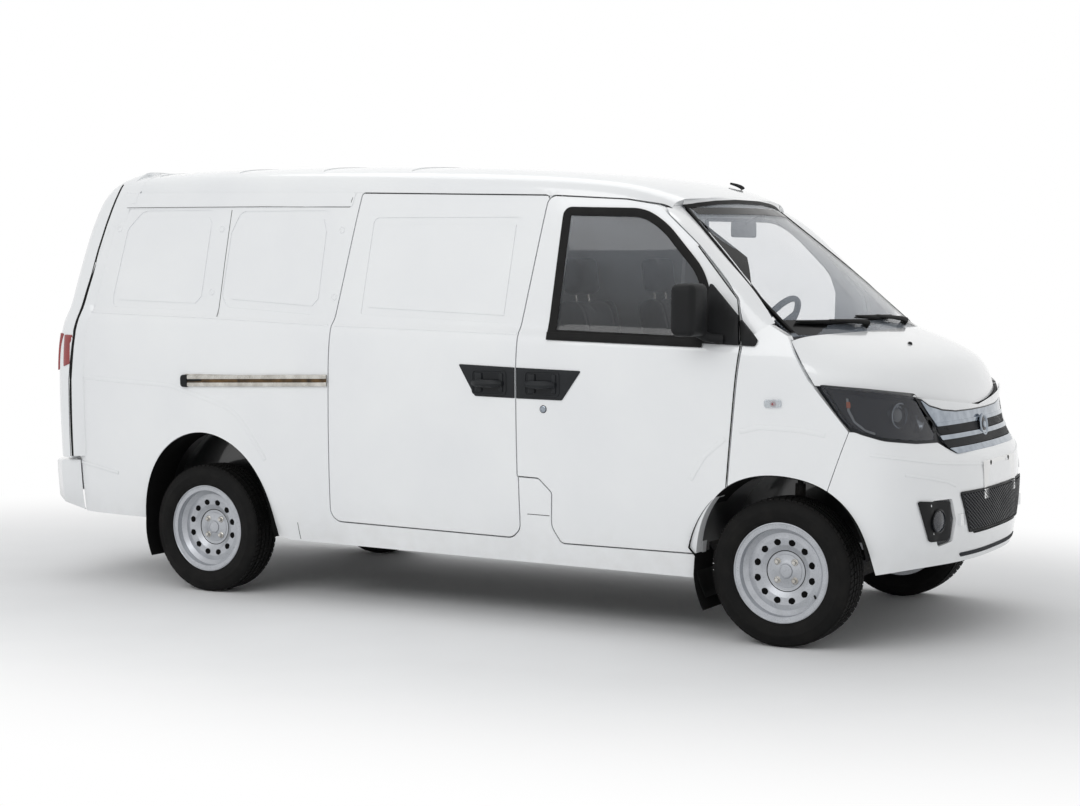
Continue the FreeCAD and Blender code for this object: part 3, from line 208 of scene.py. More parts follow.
# Woven polyester: crossed threads drawn at 3 mm so that they show in the render, a soft sheen
def cloth(name, base, shade, threadMm=3.0):
    material, tree, shader, vector, _, _ = twoTone(name, base, shade, 60.0, 6.0)
    waves = 1000 / threadMm / 6.283
    warp, weft = (addNode(tree, "ShaderNodeTexWave", {"Scale": waves, "bands_direction": way},
                          {"Vector": (vector, "Vector")}) for way in "YZ")
    weave = addNode(tree, "ShaderNodeMath", {"operation": "MULTIPLY"}, {0: (warp, "Fac"), 1: (weft, "Fac")})
    thread = addNode(tree, "ShaderNodeBump", {"Strength": 0.7, "Distance": 0.0004},
                     {"Height": (weave, "Value")})
    setNode(shader, {"Roughness": 0.85, "Sheen Weight": 0.4, "Sheen Roughness": 0.4},
            {"Normal": (thread, "Normal")})
    return material


# Polycarbonate lamp lens: tinted and glossy, with moulded flutes where a count per metre is given
def lens(name, tint, clearness, flutes=0.0):
    material, tree, shader, vector, _, _ = twoTone(name, tint, None, 12.0, 4.0, 0.3, 0.8)
    glance = addNode(tree, "ShaderNodeLayerWeight", {"Blend": 0.15})
    alpha = addNode(tree, "ShaderNodeMapRange", {"To Min": 1 - clearness, "To Max": 1.0},
                    {"Value": (glance, "Facing")})
    setNode(shader, {"Roughness": 0.04, "Coat Weight": 1.0, "Coat Roughness": 0.02},
            {"Alpha": (alpha, "Result")})
    if flutes:
        lines = addNode(tree, "ShaderNodeTexWave", {"Scale": flutes / 6.283, "bands_direction": "Z"},
                        {"Vector": (vector, "Vector")})
        ribs = addNode(tree, "ShaderNodeBump", {"Strength": 0.8, "Distance": 0.0008},
                       {"Height": (lines, "Fac")})
        setNode(shader, links={"Normal": (ribs, "Normal")})
    return material


materials = {
    "whitePaint": paint("white_gloss_paint", "#F1F3F4", "#ECEEF0"),
    "floorPaint": paint("black_underbody_coating", "#1B1C1D", "#121314"),
    "glass": glazing("tinted_door_glass", "#25282B", "#7A8088", 0.66),
    # The far door's glass is a clear, pale copy of the tinted door glass: painted light, so that the backdrop
    # shows bright through it
    "farDoorGlassLitCopy": glazing("far_door_glass_painted_light", "#9AA6B0", "#B4C0CC", 0.94, 0.5),
    "screenGlass": glazing("clear_screen_glass", "#B9C4D2", "#D6DEE8", 0.96, 0.52, 0.30),
    "tyre": rubber("tyre_rubber", "#0B0B0B", "#161514"),
    # Near-black and fully matt: the arches' black coating darkened further as painted shade, and also the
    # painted shade in the wheels' vents
    "archLiner": rubber("wheel_arch_coating_and_painted_shade", "#040404", "#080808", 1.0),
    "seal": rubber("window_seal_rubber", "#0B0B0B", "#151515", 0.6),
    "frit": moulded("black_ceramic_screen_border", "#060707", "#0B0C0C", 0.22, 2.0, 0.00002),
    "plateWhite": paint("white_plate_enamel", "#F7F7F6", "#F2F2F0", False),
    "rim": metal("silver_painted_steel", "#B9BCC1", "#ADB0B5", 0.30, 0.5, 2.5),
    "blackPlastic": moulded("black_moulded_plastic", "#0E0F10", "#17181A"),
    "handlePlastic": moulded("grey_handle_plastic", "#1D1F21", "#25272A", 0.5),
    "meshPlastic": moulded("black_mesh_plastic", "#1E2023", "#2A2C30", 0.35),
    # Gloss black plastic, also used as painted shade in the door pulls' hollows
    "glossBlack": moulded("gloss_black_housing_and_painted_shade", "#15171A", "#1C1F23", 0.18, 3.0, 0.00002),
    "darkTrim": moulded("dark_cabin_plastic", "#26282B", "#303236", 0.7),
    "castIron": metal("sooty_cast_iron", "#26272A", "#3A3733", 0.75, 0.4, 11.0),
    "brightSteel": metal("polished_steel", "#CFCDC8", "#A9A59E", 0.24, 0.85),
    "chrome": metal("chrome_plate", "#A3AAB2", "#868E97", 0.10),
    "seatCloth": cloth("black_seat_cloth", "#17181B", "#232529"),
    "redLens": lens("red_lamp_lens", "#96070B", 0.05, 180.0),
    "smokedLens": lens("smoked_lamp_lens", "#1C2230", 0.55),
    "amberLens": lens("amber_marker_lens", "#E0661A", 0.1, 400.0),
    "clearLens": lens("clear_lamp_lens", "#DFE6EC", 0.6),
    "stainedSteel": metal("grease_stained_steel", "#6B5232", "#1D1914", 0.5, 0.5, 9.0),
    "mirrorGlass": metal("silvered_mirror", "#DDE3E6", "#D3DADE", 0.03),
}

finishOf = {
    "whitePaint": [
        "body_side_right", "body_side_left", "front_door_right", "front_door_left", "sliding_door_right",
        "sliding_door_left", "roof_panel", "bonnet", "front_wings", "front_bumper", "rear_bumper", "tailgate",
        "screen_pillars",
    ],
    "floorPaint": ["floor_pan", "front_bulkhead"],
    "glass": ["door_glass_right", "tailgate_glass"],
    "farDoorGlassLitCopy": ["door_glass_left"],
    "screenGlass": ["windscreen"],
    "tyre": [name for name in nodes if name.startswith("tyre_")],
    "rim": [name for name in nodes if name.startswith("rim_")],
    "blackPlastic": ["wipers", "mirror_right", "mirror_left", "fuel_tank"] + grilleNodes,
    "darkTrim": ["dashboard", "steering_wheel"],
    "castIron": [
        "knuckle_right", "knuckle_left", "front_suspension", "rear_axle", "leaf_springs", "exhaust", "engine",
    ],
    "brightSteel": ["door_rails"],
    "seatCloth": ["front_seats"],
    "redLens": ["tail_lamps"],
    "smokedLens": ["front_lamps"],
}
for finish, names in finishOf.items():
    for name in names:
        if not nodes[name].material_slots:
            nodes[name].data.materials.append(materials[finish])
        for slot in nodes[name].material_slots:
            slot.material = materials[finish]
print("stage: materials done")


# Shape tools. Outlines are drawn flat as (a, b) and laid on a CAD skin along one of these views,
# each given by the place, 3 or 4 m out, where a ray starts and the way it goes.
slant = 0.7071
views = {
    "right": (lambda a, b: Vector((a, -3, b)), Vector((0, 1, 0))),
    "front": (lambda a, b: Vector((4, a, b)), Vector((-1, 0, 0))),
    "rear": (lambda a, b: Vector((-4, a, b)), Vector((1, 0, 0))),
    "top": (lambda a, b: Vector((a, b, 4)), Vector((0, 0, -1))),
    "corner": (lambda a, b: Vector((a * slant + 2.83, a * slant - 2.83, b)), Vector((-slant, slant, 0))),
}


def skinOf(*names):
    corners, faces = [], []
    for name in names:
        start = len(corners)
        corners.extend(vert.co.copy() for vert in nodes[name].data.vertices)
        faces.extend([start + k for k in face.vertices] for face in nodes[name].data.polygons)
    return BVHTree.FromPolygons(corners, faces)


# The first spot that a view meets on a skin, or None
def spotOn(skin, view, a, b):
    place, ahead = views[view]
    return skin.ray_cast(place(a, b), ahead)[0]


def softenEdges(shape, width, segments=2, angle=50):
    limit = math.radians(angle)
    sharp = [edge for edge in shape.edges if len(edge.link_faces) == 2 and edge.calc_face_angle(0) > limit]
    bmesh.ops.bevel(shape, geom=sharp, offset=width, segments=segments, profile=0.5, affect="EDGES",
                    material=-1, clamp_overlap=True)


# Gives an open sheet its thickness: each vertex goes the way that push gives for it
def thicken(shape, push, soften=0.0):
    raised = bmesh.ops.extrude_face_region(shape, geom=shape.faces[:])
    for part in raised["geom"]:
        if isinstance(part, bmesh.types.BMVert):
            part.co += push(part)
    bmesh.ops.recalc_face_normals(shape, faces=shape.faces[:])
    if soften:
        softenEdges(shape, soften)
    return shape


# An open sheet through rows of places
def gridShape(rails, closed=False):
    shape = bmesh.new()
    grid = [[shape.verts.new(spot) for spot in rail] for rail in rails]
    for first, second in zip(grid, grid[1:] + grid[:1] if closed else grid[1:]):
        for corners in zip(first, first[1:], second[1:], second):
            shape.faces.new(corners)
    shape.normal_update()
    return shape


def sheet(rails, push, soften=0.0):
    return thicken(gridShape(rails), lambda vert: Vector(push), soften)


# The grid of spots for a smooth sheet, the rounds of its fit, and how far behind it a spot is left out
smoothing = {"columns": 30, "rows": 12, "rounds": 5, "behind": 0.003}


# A smooth sheet through the front faces of a skin: x as a polynomial of the side place and height.
# Spots that lie well behind it are left out, and the fit is made again.
def smoothFace(skin, low, high):
    spots = []
    columns, rows = smoothing["columns"], smoothing["rows"]
    for j in range(columns + 1):
        for k in range(rows + 1):
            y, z = low[0] + (high[0] - low[0]) * j / columns, low[1] + (high[1] - low[1]) * k / rows
            hit = spotOn(skin, "front", y, z)
            if hit:
                spots.append((y, z, hit.x))
    terms = lambda y, z: (1.0, y * y, y ** 4, z, z * z, z * y * y)
    for _ in range(smoothing["rounds"]):
        known = numpy.array([terms(y, z) for y, z, _ in spots])
        answer = numpy.linalg.lstsq(known, numpy.array([x for _, _, x in spots]), rcond=None)[0]
        spots = [(y, z, x) for y, z, x in spots
                 if x > float(numpy.dot(answer, terms(y, z))) - smoothing["behind"]]
    return lambda y, z: float(numpy.dot(answer, terms(y, z)))


# Lays a flat (side, height) shape over such a sheet and gives it thickness forwards
def layOver(shape, face, lift, thickness, soften=0.0):
    for vert in shape.verts:
        y, z = vert.co.x, vert.co.y
        vert.co = Vector((face(y, z) + lift, y, z))
    shape.normal_update()
    if sum(part.normal.x * part.calc_area() for part in shape.faces) < 0:
        bmesh.ops.reverse_faces(shape, faces=shape.faces[:])
    return thicken(shape, lambda vert: Vector((thickness, 0, 0)), soften)


# Half the angle, in radians, of a corner that is so nearly straight that it stays a point
straight = 1.55


# Points round an outline of (a, b, radius) corners
def roundedOutline(corners, segments=5):
    points = []
    count = len(corners)
    for k, (a, b, radius) in enumerate(corners):
        here = Vector((a, b))
        back = (Vector(corners[k - 1][:2]) - here).normalized()
        ahead = (Vector(corners[(k + 1) % count][:2]) - here).normalized()
        half = back.angle(ahead) / 2
        if radius <= 0 or half > straight:
            points.append(here)
            continue
        reach = radius / math.tan(half)
        start, end = here + back * reach, here + ahead * reach
        for step in range(segments + 1):
            t = step / segments
            points.append(start * (1 - t) ** 2 + here * 2 * t * (1 - t) + end * t ** 2)
    return points


# A whole outline from its left half, which starts at the middle, and an oblong from two opposite corners
def bothSides(half):
    return half + [(-corner[0], *corner[1:]) for corner in reversed(half) if corner[0]]


def oblong(low, high, radius):
    return [(low[0], high[1], radius), (*high, radius), (high[0], low[1], radius), (*low, radius)]


# A flat face inside an outline, cut into cells about as wide as the spacing
def flatPlate(outline, spacing=0.03):
    shape = bmesh.new()
    shape.faces.new([shape.verts.new((a, b, 0)) for a, b in outline])
    for axis in (0, 1):
        values = [vert.co[axis] for vert in shape.verts]
        low, high = min(values), max(values)
        count = max(1, math.ceil((high - low) / spacing))
        for k in range(1, count):
            spot, across = Vector((0, 0, 0)), Vector((0, 0, 0))
            spot[axis] = low + (high - low) * k / count
            across[axis] = 1
            geometry = shape.verts[:] + shape.edges[:] + shape.faces[:]
            bmesh.ops.bisect_plane(shape, geom=geometry, dist=1e-6, plane_co=spot, plane_no=across)
    return shape


# A flat strip along a path, moved to the path's left by the offset
def flatBand(path, width, closed=False, spacing=0.03, offset=0.0):
    points = []
    for start, end in zip(path, path[1:] + path[:1] if closed else path[1:]):
        start, end = Vector(start), Vector(end)
        steps = max(1, math.ceil((end - start).length / spacing))
        points.extend(start.lerp(end, k / steps) for k in range(steps))
    if not closed:
        points.append(Vector(path[-1]))
    count = len(points)
    rails = []
    for k, point in enumerate(points):
        before = points[k - 1] if closed or k else point
        after = points[(k + 1) % count] if closed or k < count - 1 else point
        along = (after - before).normalized()
        across = Vector((-along.y, along.x))
        rails.append([(*(point + across * (offset + side * width / 2)), 0) for side in (-1, 1)])
    return gridShape(rails, closed)


# Lays a flat shape on a skin, lifted off it, and gives it thickness outwards. A corner that misses
# the skin goes to the skin's nearest place, seen from the nearest corner that hits it.
def layOn(shape, view, skin, lift=0.0005, thickness=0.002, soften=0.0):
    place, ahead = views[view]
    seen, missed = [], []
    for vert in shape.verts:
        start = place(vert.co.x, vert.co.y)
        spot, normal, _, _ = skin.ray_cast(start, ahead)
        (missed if spot is None else seen).append((vert, start, spot, normal))
    for vert, start, _, _ in missed:
        _, other, found, _ = min(seen, key=lambda entry: (entry[1] - start).length)
        spot, normal, _, _ = skin.find_nearest(found + start - other)
        seen.append((vert, start, spot, normal))
    for vert, _, spot, normal in seen:
        vert.co = spot + normal * (lift if normal.dot(ahead) < 0 else -lift)
    shape.normal_update()
    if sum(face.normal.dot(ahead) * face.calc_area() for face in shape.faces) > 0:
        bmesh.ops.reverse_faces(shape, faces=shape.faces[:])
        shape.normal_update()
    return thicken(shape, lambda vert: vert.normal * thickness, soften)


# A plate with rounded corners, or a band along a path, laid on a skin
def plateOn(corners, spacing, *how):
    return layOn(flatPlate(roundedOutline(corners), spacing), *how)


def bandOn(path, width, spacing, *how):
    return layOn(flatBand(path, width, spacing=spacing), *how)


# Turns a profile of (radius, along) about the Y axis
def lathe(profile, steps=48, closed=False):
    shape = bmesh.new()
    verts = [shape.verts.new((radius, along, 0)) for radius, along in profile]
    pairs = list(zip(verts, verts[1:])) + ([(verts[-1], verts[0])] if closed else [])
    edges = [shape.edges.new(pair) for pair in pairs]
    bmesh.ops.spin(shape, geom=verts + edges, cent=(0, 0, 0), axis=(0, 1, 0), angle=math.tau, steps=steps,
                   use_merge=True)
    bmesh.ops.remove_doubles(shape, verts=shape.verts, dist=1e-6)
    bmesh.ops.recalc_face_normals(shape, faces=shape.faces[:])
    return shape


# Moves a shape to its place and turns its Y axis to a direction
def placed(shape, place, direction=(0, 1, 0)):
    turn = Vector((0, 1, 0)).rotation_difference(Vector(direction)).to_matrix().to_4x4()
    bmesh.ops.transform(shape, matrix=Matrix.Translation(place) @ turn, verts=shape.verts)
    return shape


def roundedBlock(size, place, radius, segments=3):
    shape = bmesh.new()
    bmesh.ops.create_cube(shape, size=1)
    bmesh.ops.scale(shape, vec=size, verts=shape.verts)
    bmesh.ops.bevel(shape, geom=shape.edges[:], offset=radius, segments=segments, profile=0.5,
                    affect="EDGES", material=-1)
    bmesh.ops.translate(shape, vec=place, verts=shape.verts)
    return shape


def joined(shapes):
    result = bmesh.new()
    for shape in shapes:
        mesh = bpy.data.meshes.new("part")
        shape.to_mesh(mesh)
        shape.free()
        result.from_mesh(mesh)
        bpy.data.meshes.remove(mesh)
    return result


def mirrored(shape):
    other = shape.copy()
    bmesh.ops.scale(other, vec=(1, -1, 1), verts=other.verts)
    bmesh.ops.reverse_faces(other, faces=other.faces[:])
    return other


# A round rod through points, with a radius at each; smooth ones are NURBS curves
def rodShape(points, radii, smooth=False, resolution=2):
    curve = bpy.data.curves.new("rod", "CURVE")
    curve.dimensions = "3D"
    spline = curve.splines.new("NURBS" if smooth else "POLY")
    spline.points.add(len(points) - 1)
    for spot, point, radius in zip(spline.points, points, radii):
        spot.co = (*point, 1)
        spot.radius = radius
    if smooth:
        spline.order_u = 3
        spline.use_endpoint_u = True
    curve.bevel_depth = 1.0
    curve.bevel_resolution = resolution
    curve.use_fill_caps = True
    holder = bpy.data.objects.new("rod", curve)
    bpy.context.scene.collection.objects.link(holder)
    mesh = bpy.data.meshes.new_from_object(holder.evaluated_get(bpy.context.evaluated_depsgraph_get()))
    shape = bmesh.new()
    shape.from_mesh(mesh)
    bpy.data.objects.remove(holder)
    bpy.data.meshes.remove(mesh)
    bmesh.ops.remove_doubles(shape, verts=shape.verts, dist=1e-5)
    bmesh.ops.recalc_face_normals(shape, faces=shape.faces[:])
    return shape


# The slot name of each finish that isn't black plastic, where a piece names no other. finishPiece works this
# name out but gives the piece no slot.
slotOf = {
    "whitePaint": "white_paint", "plateWhite": "white_paint", "brightSteel": "bright_steel",
    "clearLens": "lamp_clear", "amberLens": "lamp_clear", "smokedLens": "lamp_clear", "redLens": "lamp_red",
    "mirrorGlass": "glass",
}


def finishPiece(name, shape, finish, body="van_body", slotName="", stands=(), sharpAngle=35):
    slotName = slotName or slotOf.get(finish, "black_plastic")
    mesh = bpy.data.meshes.new(name)
    shape.to_mesh(mesh)
    shape.free()
    mesh.materials.append(materials[finish])
    for face in mesh.polygons:
        face.use_smooth = True
    mesh.set_sharp_from_angle(angle=math.radians(sharpAngle))
    piece = bpy.data.objects.new(name, mesh)
    bpy.context.scene.collection.objects.link(piece)
    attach(piece, body)
    if stands:
        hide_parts(*stands)
    return piece


# Makes a right-hand piece and its mirror image; a body or a node named with {} is there on both sides
def finishPair(name, shape, finish, body="van_body", slotName="", stands=(), sharpAngle=35):
    other = mirrored(shape)
    for side, form in (("right", shape), ("left", other)):
        finishPiece(f"{name}_{side}", form, finish, body.format(side), slotName,
                    [node.format(side) for node in stands], sharpAngle)


bodySkin = {
    "flank": skinOf("body_side_right"),
    "door": skinOf("front_door_right"),
    "sliding": skinOf("sliding_door_right"),
    "glass": skinOf("door_glass_right"),
    "screen": skinOf("windscreen"),
    "nose": skinOf("front_bumper", *grilleNodes),
    "bumper": skinOf("front_bumper"),
    "grille": skinOf(*grilleNodes),
    "lamps": skinOf("front_lamps"),
    "bonnet": skinOf("bonnet"),
    "roof": skinOf("roof_panel"),
    "tailgate": skinOf("tailgate"),
    "tailGlass": skinOf("tailgate_glass"),
    "wing": skinOf("front_wings"),
    "doorFull": skinOf("front_door_right", "door_glass_right", "front_wings"),
    "noseAll": skinOf("front_lamps", "front_bumper", "front_wings", "bonnet"),
    "rearCorner": skinOf("body_side_right", "tailgate", "roof_panel"),
}

# Tyres: a turned carcass with five rows of tread blocks raised on it. Profiles are (radius, along).
tyre = {
    "steps": 72, "treadDepth": 0.0060, "blockGap": 0.0021, "crownRadius": 0.3040, "crownCurve": 0.5,
    "skew": 0.06, "skewFrom": 0.285, "skewWidth": 0.07, "treadFrom": 0.2995,
    "rows": [(-0.074, -0.047), (-0.041, -0.018), (-0.012, 0.012), (0.018, 0.041), (0.047, 0.074)],
    "wall": [(0.1945, 0.069), (0.199, 0.0735), (0.207, 0.0745), (0.216, 0.0835), (0.219, 0.0835),
             (0.222, 0.086), (0.240, 0.0910), (0.2565, 0.0918), (0.259, 0.0925), (0.262, 0.0925),
             (0.2645, 0.0915), (0.281, 0.0875), (0.290, 0.0835), (0.2975, 0.0785), (0.3005, 0.0745)],
    "lining": [(0.294, -0.060), (0.270, -0.083), (0.235, -0.083), (0.205, -0.066)],
}


def tyreShape():
    treads = sorted(edge for row in tyre["rows"] for edge in row if edge > 0)
    crown = [(tyre["crownRadius"] - tyre["crownCurve"] * edge ** 2, edge) for edge in reversed(treads)]
    half = tyre["wall"] + crown
    profile = half + [(radius, -along) for radius, along in reversed(half)] + list(reversed(tyre["lining"]))
    profile += [(radius, -along) for radius, along in tyre["lining"]]
    shape = lathe(profile, tyre["steps"], closed=True)
    for vert in shape.verts:
        if math.hypot(vert.co.x, vert.co.z) > tyre["skewFrom"]:
            turn = Matrix.Rotation(tyre["skew"] * (abs(vert.co.y) / tyre["skewWidth"]) ** 1.5, 3, "Y")
            vert.co = turn @ vert.co
    blocks = []
    for face in shape.faces:
        middle = face.calc_center_median()
        if math.hypot(middle.x, middle.z) > tyre["treadFrom"]:
            if any(low < middle.y < high for low, high in tyre["rows"]):
                blocks.append(face)
    bmesh.ops.inset_individual(shape, faces=blocks, thickness=tyre["blockGap"], use_even_offset=True)
    raised = bmesh.ops.extrude_discrete_faces(shape, faces=blocks)
    for face in raised["faces"]:
        for vert in face.verts:
            grow = 1 + tyre["treadDepth"] / math.hypot(vert.co.x, vert.co.z)
            vert.co.x *= grow
            vert.co.z *= grow
    return shape


# Wheel centres: cap, four lug nuts on their embossed seats, vents darkened as painted shade by black discs
# and a black ring behind them, and the valve in its hole
wheelCentre = {
    "hubFace": 0.0125, "nuts": 4, "nutCircle": 0.054, "vents": 12, "ventCircle": 0.126, "ventRadius": 0.0150,
    "backing": (0.084, 0.165), "valve": [(0.150, 0.020, 0), (0.166, 0.034, 0), (0.172, 0.047, 0)],
    "valveRadii": [0.005, 0.005, 0.0035], "valveTurn": -125,
}


# The place of one of a ring of equal pieces, counted in steps from the front
def roundWheel(radius, step, count):
    turn = math.tau * step / count
    return radius * math.cos(turn), 0, radius * math.sin(turn)


def wheelCentreShapes(ventFace, ventBack):
    face = wheelCentre["hubFace"]
    boss = lathe([(0.026, face - 0.002), (0.072, face - 0.001), (0.069, face + 0.003), (0.046, face + 0.0048),
                  (0.038, face + 0.009), (0.031, face + 0.0095), (0.026, face + 0.004)], 48, closed=True)
    edge = lathe([(0.2035, 0.0745), (0.2075, 0.0725), (0.2098, 0.0752), (0.2090, 0.0785), (0.2055, 0.0795),
                  (0.2030, 0.0775)], 72, closed=True)
    cap = lathe([(0.0, face - 0.004), (0.029, face - 0.004), (0.030, face + 0.011), (0.0285, face + 0.0135),
                 (0.0245, face + 0.0145), (0.0235, face + 0.0125), (0.0, face + 0.0132)], 40)
    nuts = []
    for k in range(wheelCentre["nuts"]):
        spot = roundWheel(wheelCentre["nutCircle"], k + 0.5, wheelCentre["nuts"])
        seat = lathe([(0.0, face), (0.0165, face), (0.0150, face + 0.006), (0.0125, face + 0.008),
                      (0.0, face + 0.007)], 20)
        nut = lathe([(0.0, face), (0.0105, face), (0.0105, face + 0.015), (0.008, face + 0.019),
                     (0.0, face + 0.0195)], 6)
        nuts.extend([placed(seat, spot), placed(nut, spot)])
    # Painted shade: a black disc over each vent hole of the rim, so that the holes read dark
    shades = []
    wide = wheelCentre["ventRadius"]
    for k in range(wheelCentre["vents"]):
        dish = lathe([(0.0, ventFace - 0.001), (wide, ventFace - 0.001), (wide, ventFace + 0.0010),
                      (0.0, ventFace + 0.0012)], 20)
        shades.append(placed(dish, roundWheel(wheelCentre["ventCircle"], k + 0.5, wheelCentre["vents"])))
    # Painted shade: a black ring behind the vents, so that what shows through them is dark
    inner, outer = wheelCentre["backing"]
    backing = lathe([(inner, ventBack), (outer, ventBack), (outer, ventBack - 0.002),
                     (inner, ventBack - 0.002)], 48, closed=True)
    return {"wheel_boss": (joined([boss, edge]), "rim"), "wheel_cap": (cap, "rim"),
            "wheel_nuts": (joined(nuts), "brightSteel"), "vent_shades": (joined(shades), "archLiner"),
            "vent_backing": (backing, "archLiner")}


def addWheels():
    rimSkin = skinOf("rim_front_right")
    inward = Vector((0, 1, 0))
    start = Vector((frontAxle + wheelCentre["ventCircle"], -1, wheelHeight))
    outside = rimSkin.ray_cast(start, inward)[0]
    behind = rimSkin.ray_cast(outside + inward * 0.0005, inward)[0]
    for axle, station in (("front", frontAxle), ("rear", rearAxle)):
        for side, sign in sides.items():
            body = f"wheel_{axle}_{side}"
            place = Vector((station, sign * wheelSide, wheelHeight))
            finishPiece(f"road_tyre_{axle}_{side}", placed(tyreShape(), place), "tyre", body, "tyre",
                        [f"tyre_{axle}_{side}"], 28)
            shapes = wheelCentreShapes(-outside.y - wheelSide, -behind.y - wheelSide - 0.006)
            for name, (shape, finish) in shapes.items():
                finishPiece(f"{name}_{axle}_{side}", placed(shape, place, (0, sign, 0)), finish, body, "rim")
            stem = rodShape(wheelCentre["valve"], wheelCentre["valveRadii"])
            turn = Matrix.Rotation(math.radians(wheelCentre["valveTurn"]), 3, "Y")
            bmesh.ops.rotate(stem, verts=stem.verts, matrix=turn)
            finishPiece(f"tyre_valve_{axle}_{side}", placed(stem, place, (0, sign, 0)), "seal", body, "tyre")


addWheels()
print("stage: wheels done")

# Headlamps: the CAD lens with a dark bowl inside it, a projector, an inner bowl, a marker and a light guide
headlamp = {
    "facing": (1, -0.35, 0), "bowlDepth": 0.044, "guideDepth": 0.020, "markerDepth": 0.017,
    "projector": (front(0.470), -0.640, 0.962), "projectorDepth": 0.030,
    "innerBowl": (front(0.500), -0.530, 0.925), "innerDepth": 0.022,
    "marker": oblong((0.816, 1.000), (0.832, 1.026), 0.006),
    "outline": [(0.752, 1.072, 0.02), (1.149, 1.028, 0.02), (1.235, 0.880, 0.03), (1.075, 0.868, 0.05),
                (0.935, 0.876, 0.06), (0.845, 0.915, 0.06), (0.785, 1.000, 0.05)],
    "guide": [(0.822, 1.040), (0.823, 0.990), (0.842, 0.945), (0.882, 0.912), (0.925, 0.898)],
    "edge": [(0.733, 1.085, 0.008), (0.916, 1.068, 0.3), (1.147, 1.041, 0.03), (1.2007, 0.946, 0.3),
             (1.262, 0.850, 0.012), (1.1137, 0.854, 0.3), (0.9496, 0.872, 0.28), (0.8464, 0.904, 0.10),
             (0.803, 0.950, 0.15), (0.768, 1.017, 0.2)],
}


def addHeadlamps():
    lamps, facing = bodySkin["lamps"], Vector(headlamp["facing"]).normalized()
    bowl = plateOn(headlamp["outline"], 0.03, "corner", lamps, -headlamp["bowlDepth"], 0.003)
    finishPair("lamp_bowl", bowl, "glossBlack")
    ring = lathe([(0.050, -0.004), (0.053, 0.006), (0.047, 0.008), (0.043, -0.012), (0.030, -0.018),
                  (0.030, -0.022), (0.050, -0.020)], 48, closed=True)
    dome = lathe([(0.0, 0.006), (0.014, 0.004), (0.026, -0.002), (0.033, -0.012), (0.033, -0.016),
                  (0.0, -0.016)], 36)
    reflector = lathe([(0.038, 0.004), (0.041, 0.005), (0.036, -0.010), (0.018, -0.026), (0.0, -0.030),
                       (0.0, -0.034), (0.022, -0.030), (0.038, -0.012)], 36)
    spot = Vector(headlamp["projector"]) - facing * headlamp["projectorDepth"]
    inner = Vector(headlamp["innerBowl"]) - facing * headlamp["innerDepth"]
    guide = bandOn(headlamp["guide"], 0.009, 0.01, "corner", lamps, -headlamp["guideDepth"], 0.003)
    for name, shape, finish in (
            ("projector_ring", placed(ring, spot, facing), "chrome"),
            ("projector_lens", placed(dome, spot, facing), "clearLens"),
            ("beam_reflector", placed(reflector, inner, facing), "chrome"),
            ("lamp_light_guide", guide, "clearLens")):
        finishPair(name, shape, finish, "van_body", "lamp_clear")
    edge = flatBand(roundedOutline(headlamp["edge"], 8), 0.013, closed=True, spacing=0.02, offset=-0.001)
    finishPair("lamp_edge_seal", layOn(edge, "corner", bodySkin["noseAll"], 0.0004, 0.0007), "glossBlack")
    marker = plateOn(headlamp["marker"], 0.01, "corner", lamps, -headlamp["markerDepth"], 0.006, 0.001)
    finishPair("amber_marker", marker, "amberLens")


addHeadlamps()

# Grille: chrome bars with a bevel over the black frame, diamond mesh behind, a plain round boss with a ring
grille = {
    "lip": bothSides([(0, 0.974, 0.2), (0.300, 1.003, 0), (0.588, 1.034, 0), (0.545, 1.026, 0),
                      (0.488, 0.998, 0.05), (0.390, 0.976, 0.1), (0.276, 0.965, 0.1), (0.094, 0.962, 0)]),
    "back": bothSides([(0, 0.968, 0), (0.30, 0.985, 0), (0.488, 1.000, 0), (0.575, 1.030, 0),
                       (0.470, 0.925, 0), (0.455, 0.850, 0), (0.395, 0.795, 0.01)]),
    "topBand": bothSides([(0.094, 0.956, 0), (0.276, 0.959, 0.1), (0.390, 0.970, 0.1), (0.488, 0.992, 0.03),
                          (0.548, 1.022, 0.002), (0.462, 0.930, 0.01), (0.452, 0.909, 0.004)]),
    "topRidge": bothSides([(0.456, 0.924, 0.003), (0.452, 0.908, 0.003)]),
    "middleBar": bothSides([(0.452, 0.872, 0.003), (0.447, 0.853, 0.003)]),
    "lowBand": bothSides([(0.428, 0.820, 0.004), (0.390, 0.796, 0.008)]),
    "bars": {"topBand": (0.002, 0.0045), "topRidge": (0.0062, 0.0045), "middleBar": (0.002, 0.0075),
             "lowBand": (0.002, 0.0065)},
    "meshes": [bothSides([(0.432, 0.822), (0.446, 0.852)]), bothSides([(0.448, 0.874), (0.452, 0.907)])],
    "lowerPlate": bothSides([(0.424, 0.637, 0.008), (0.338, 0.468, 0.012)]),
    "lowerMesh": bothSides([(0.334, 0.476), (0.412, 0.629)]),
    "meshPitch": 0.017, "lowerPitch": 0.024, "emblemHeight": 0.888, "emblemFacing": (1, 0, 0.12),
}


# The stretch of a slanting line that lies inside a convex outline
def clipped(start, end, corners):
    low, high = 0.0, 1.0
    count = len(corners)
    for k in range(count):
        a, b = Vector(corners[k]), Vector(corners[(k + 1) % count])
        edge = b - a
        inward = Vector((-edge.y, edge.x))
        rate, room = inward.dot(end - start), inward.dot(start - a)
        if abs(rate) < 1e-9:
            if room < 0:
                return None
            continue
        t = -room / rate
        low, high = (max(low, t), high) if rate > 0 else (low, min(high, t))
    return (start.lerp(end, low), start.lerp(end, high)) if high - low > 0.01 else None


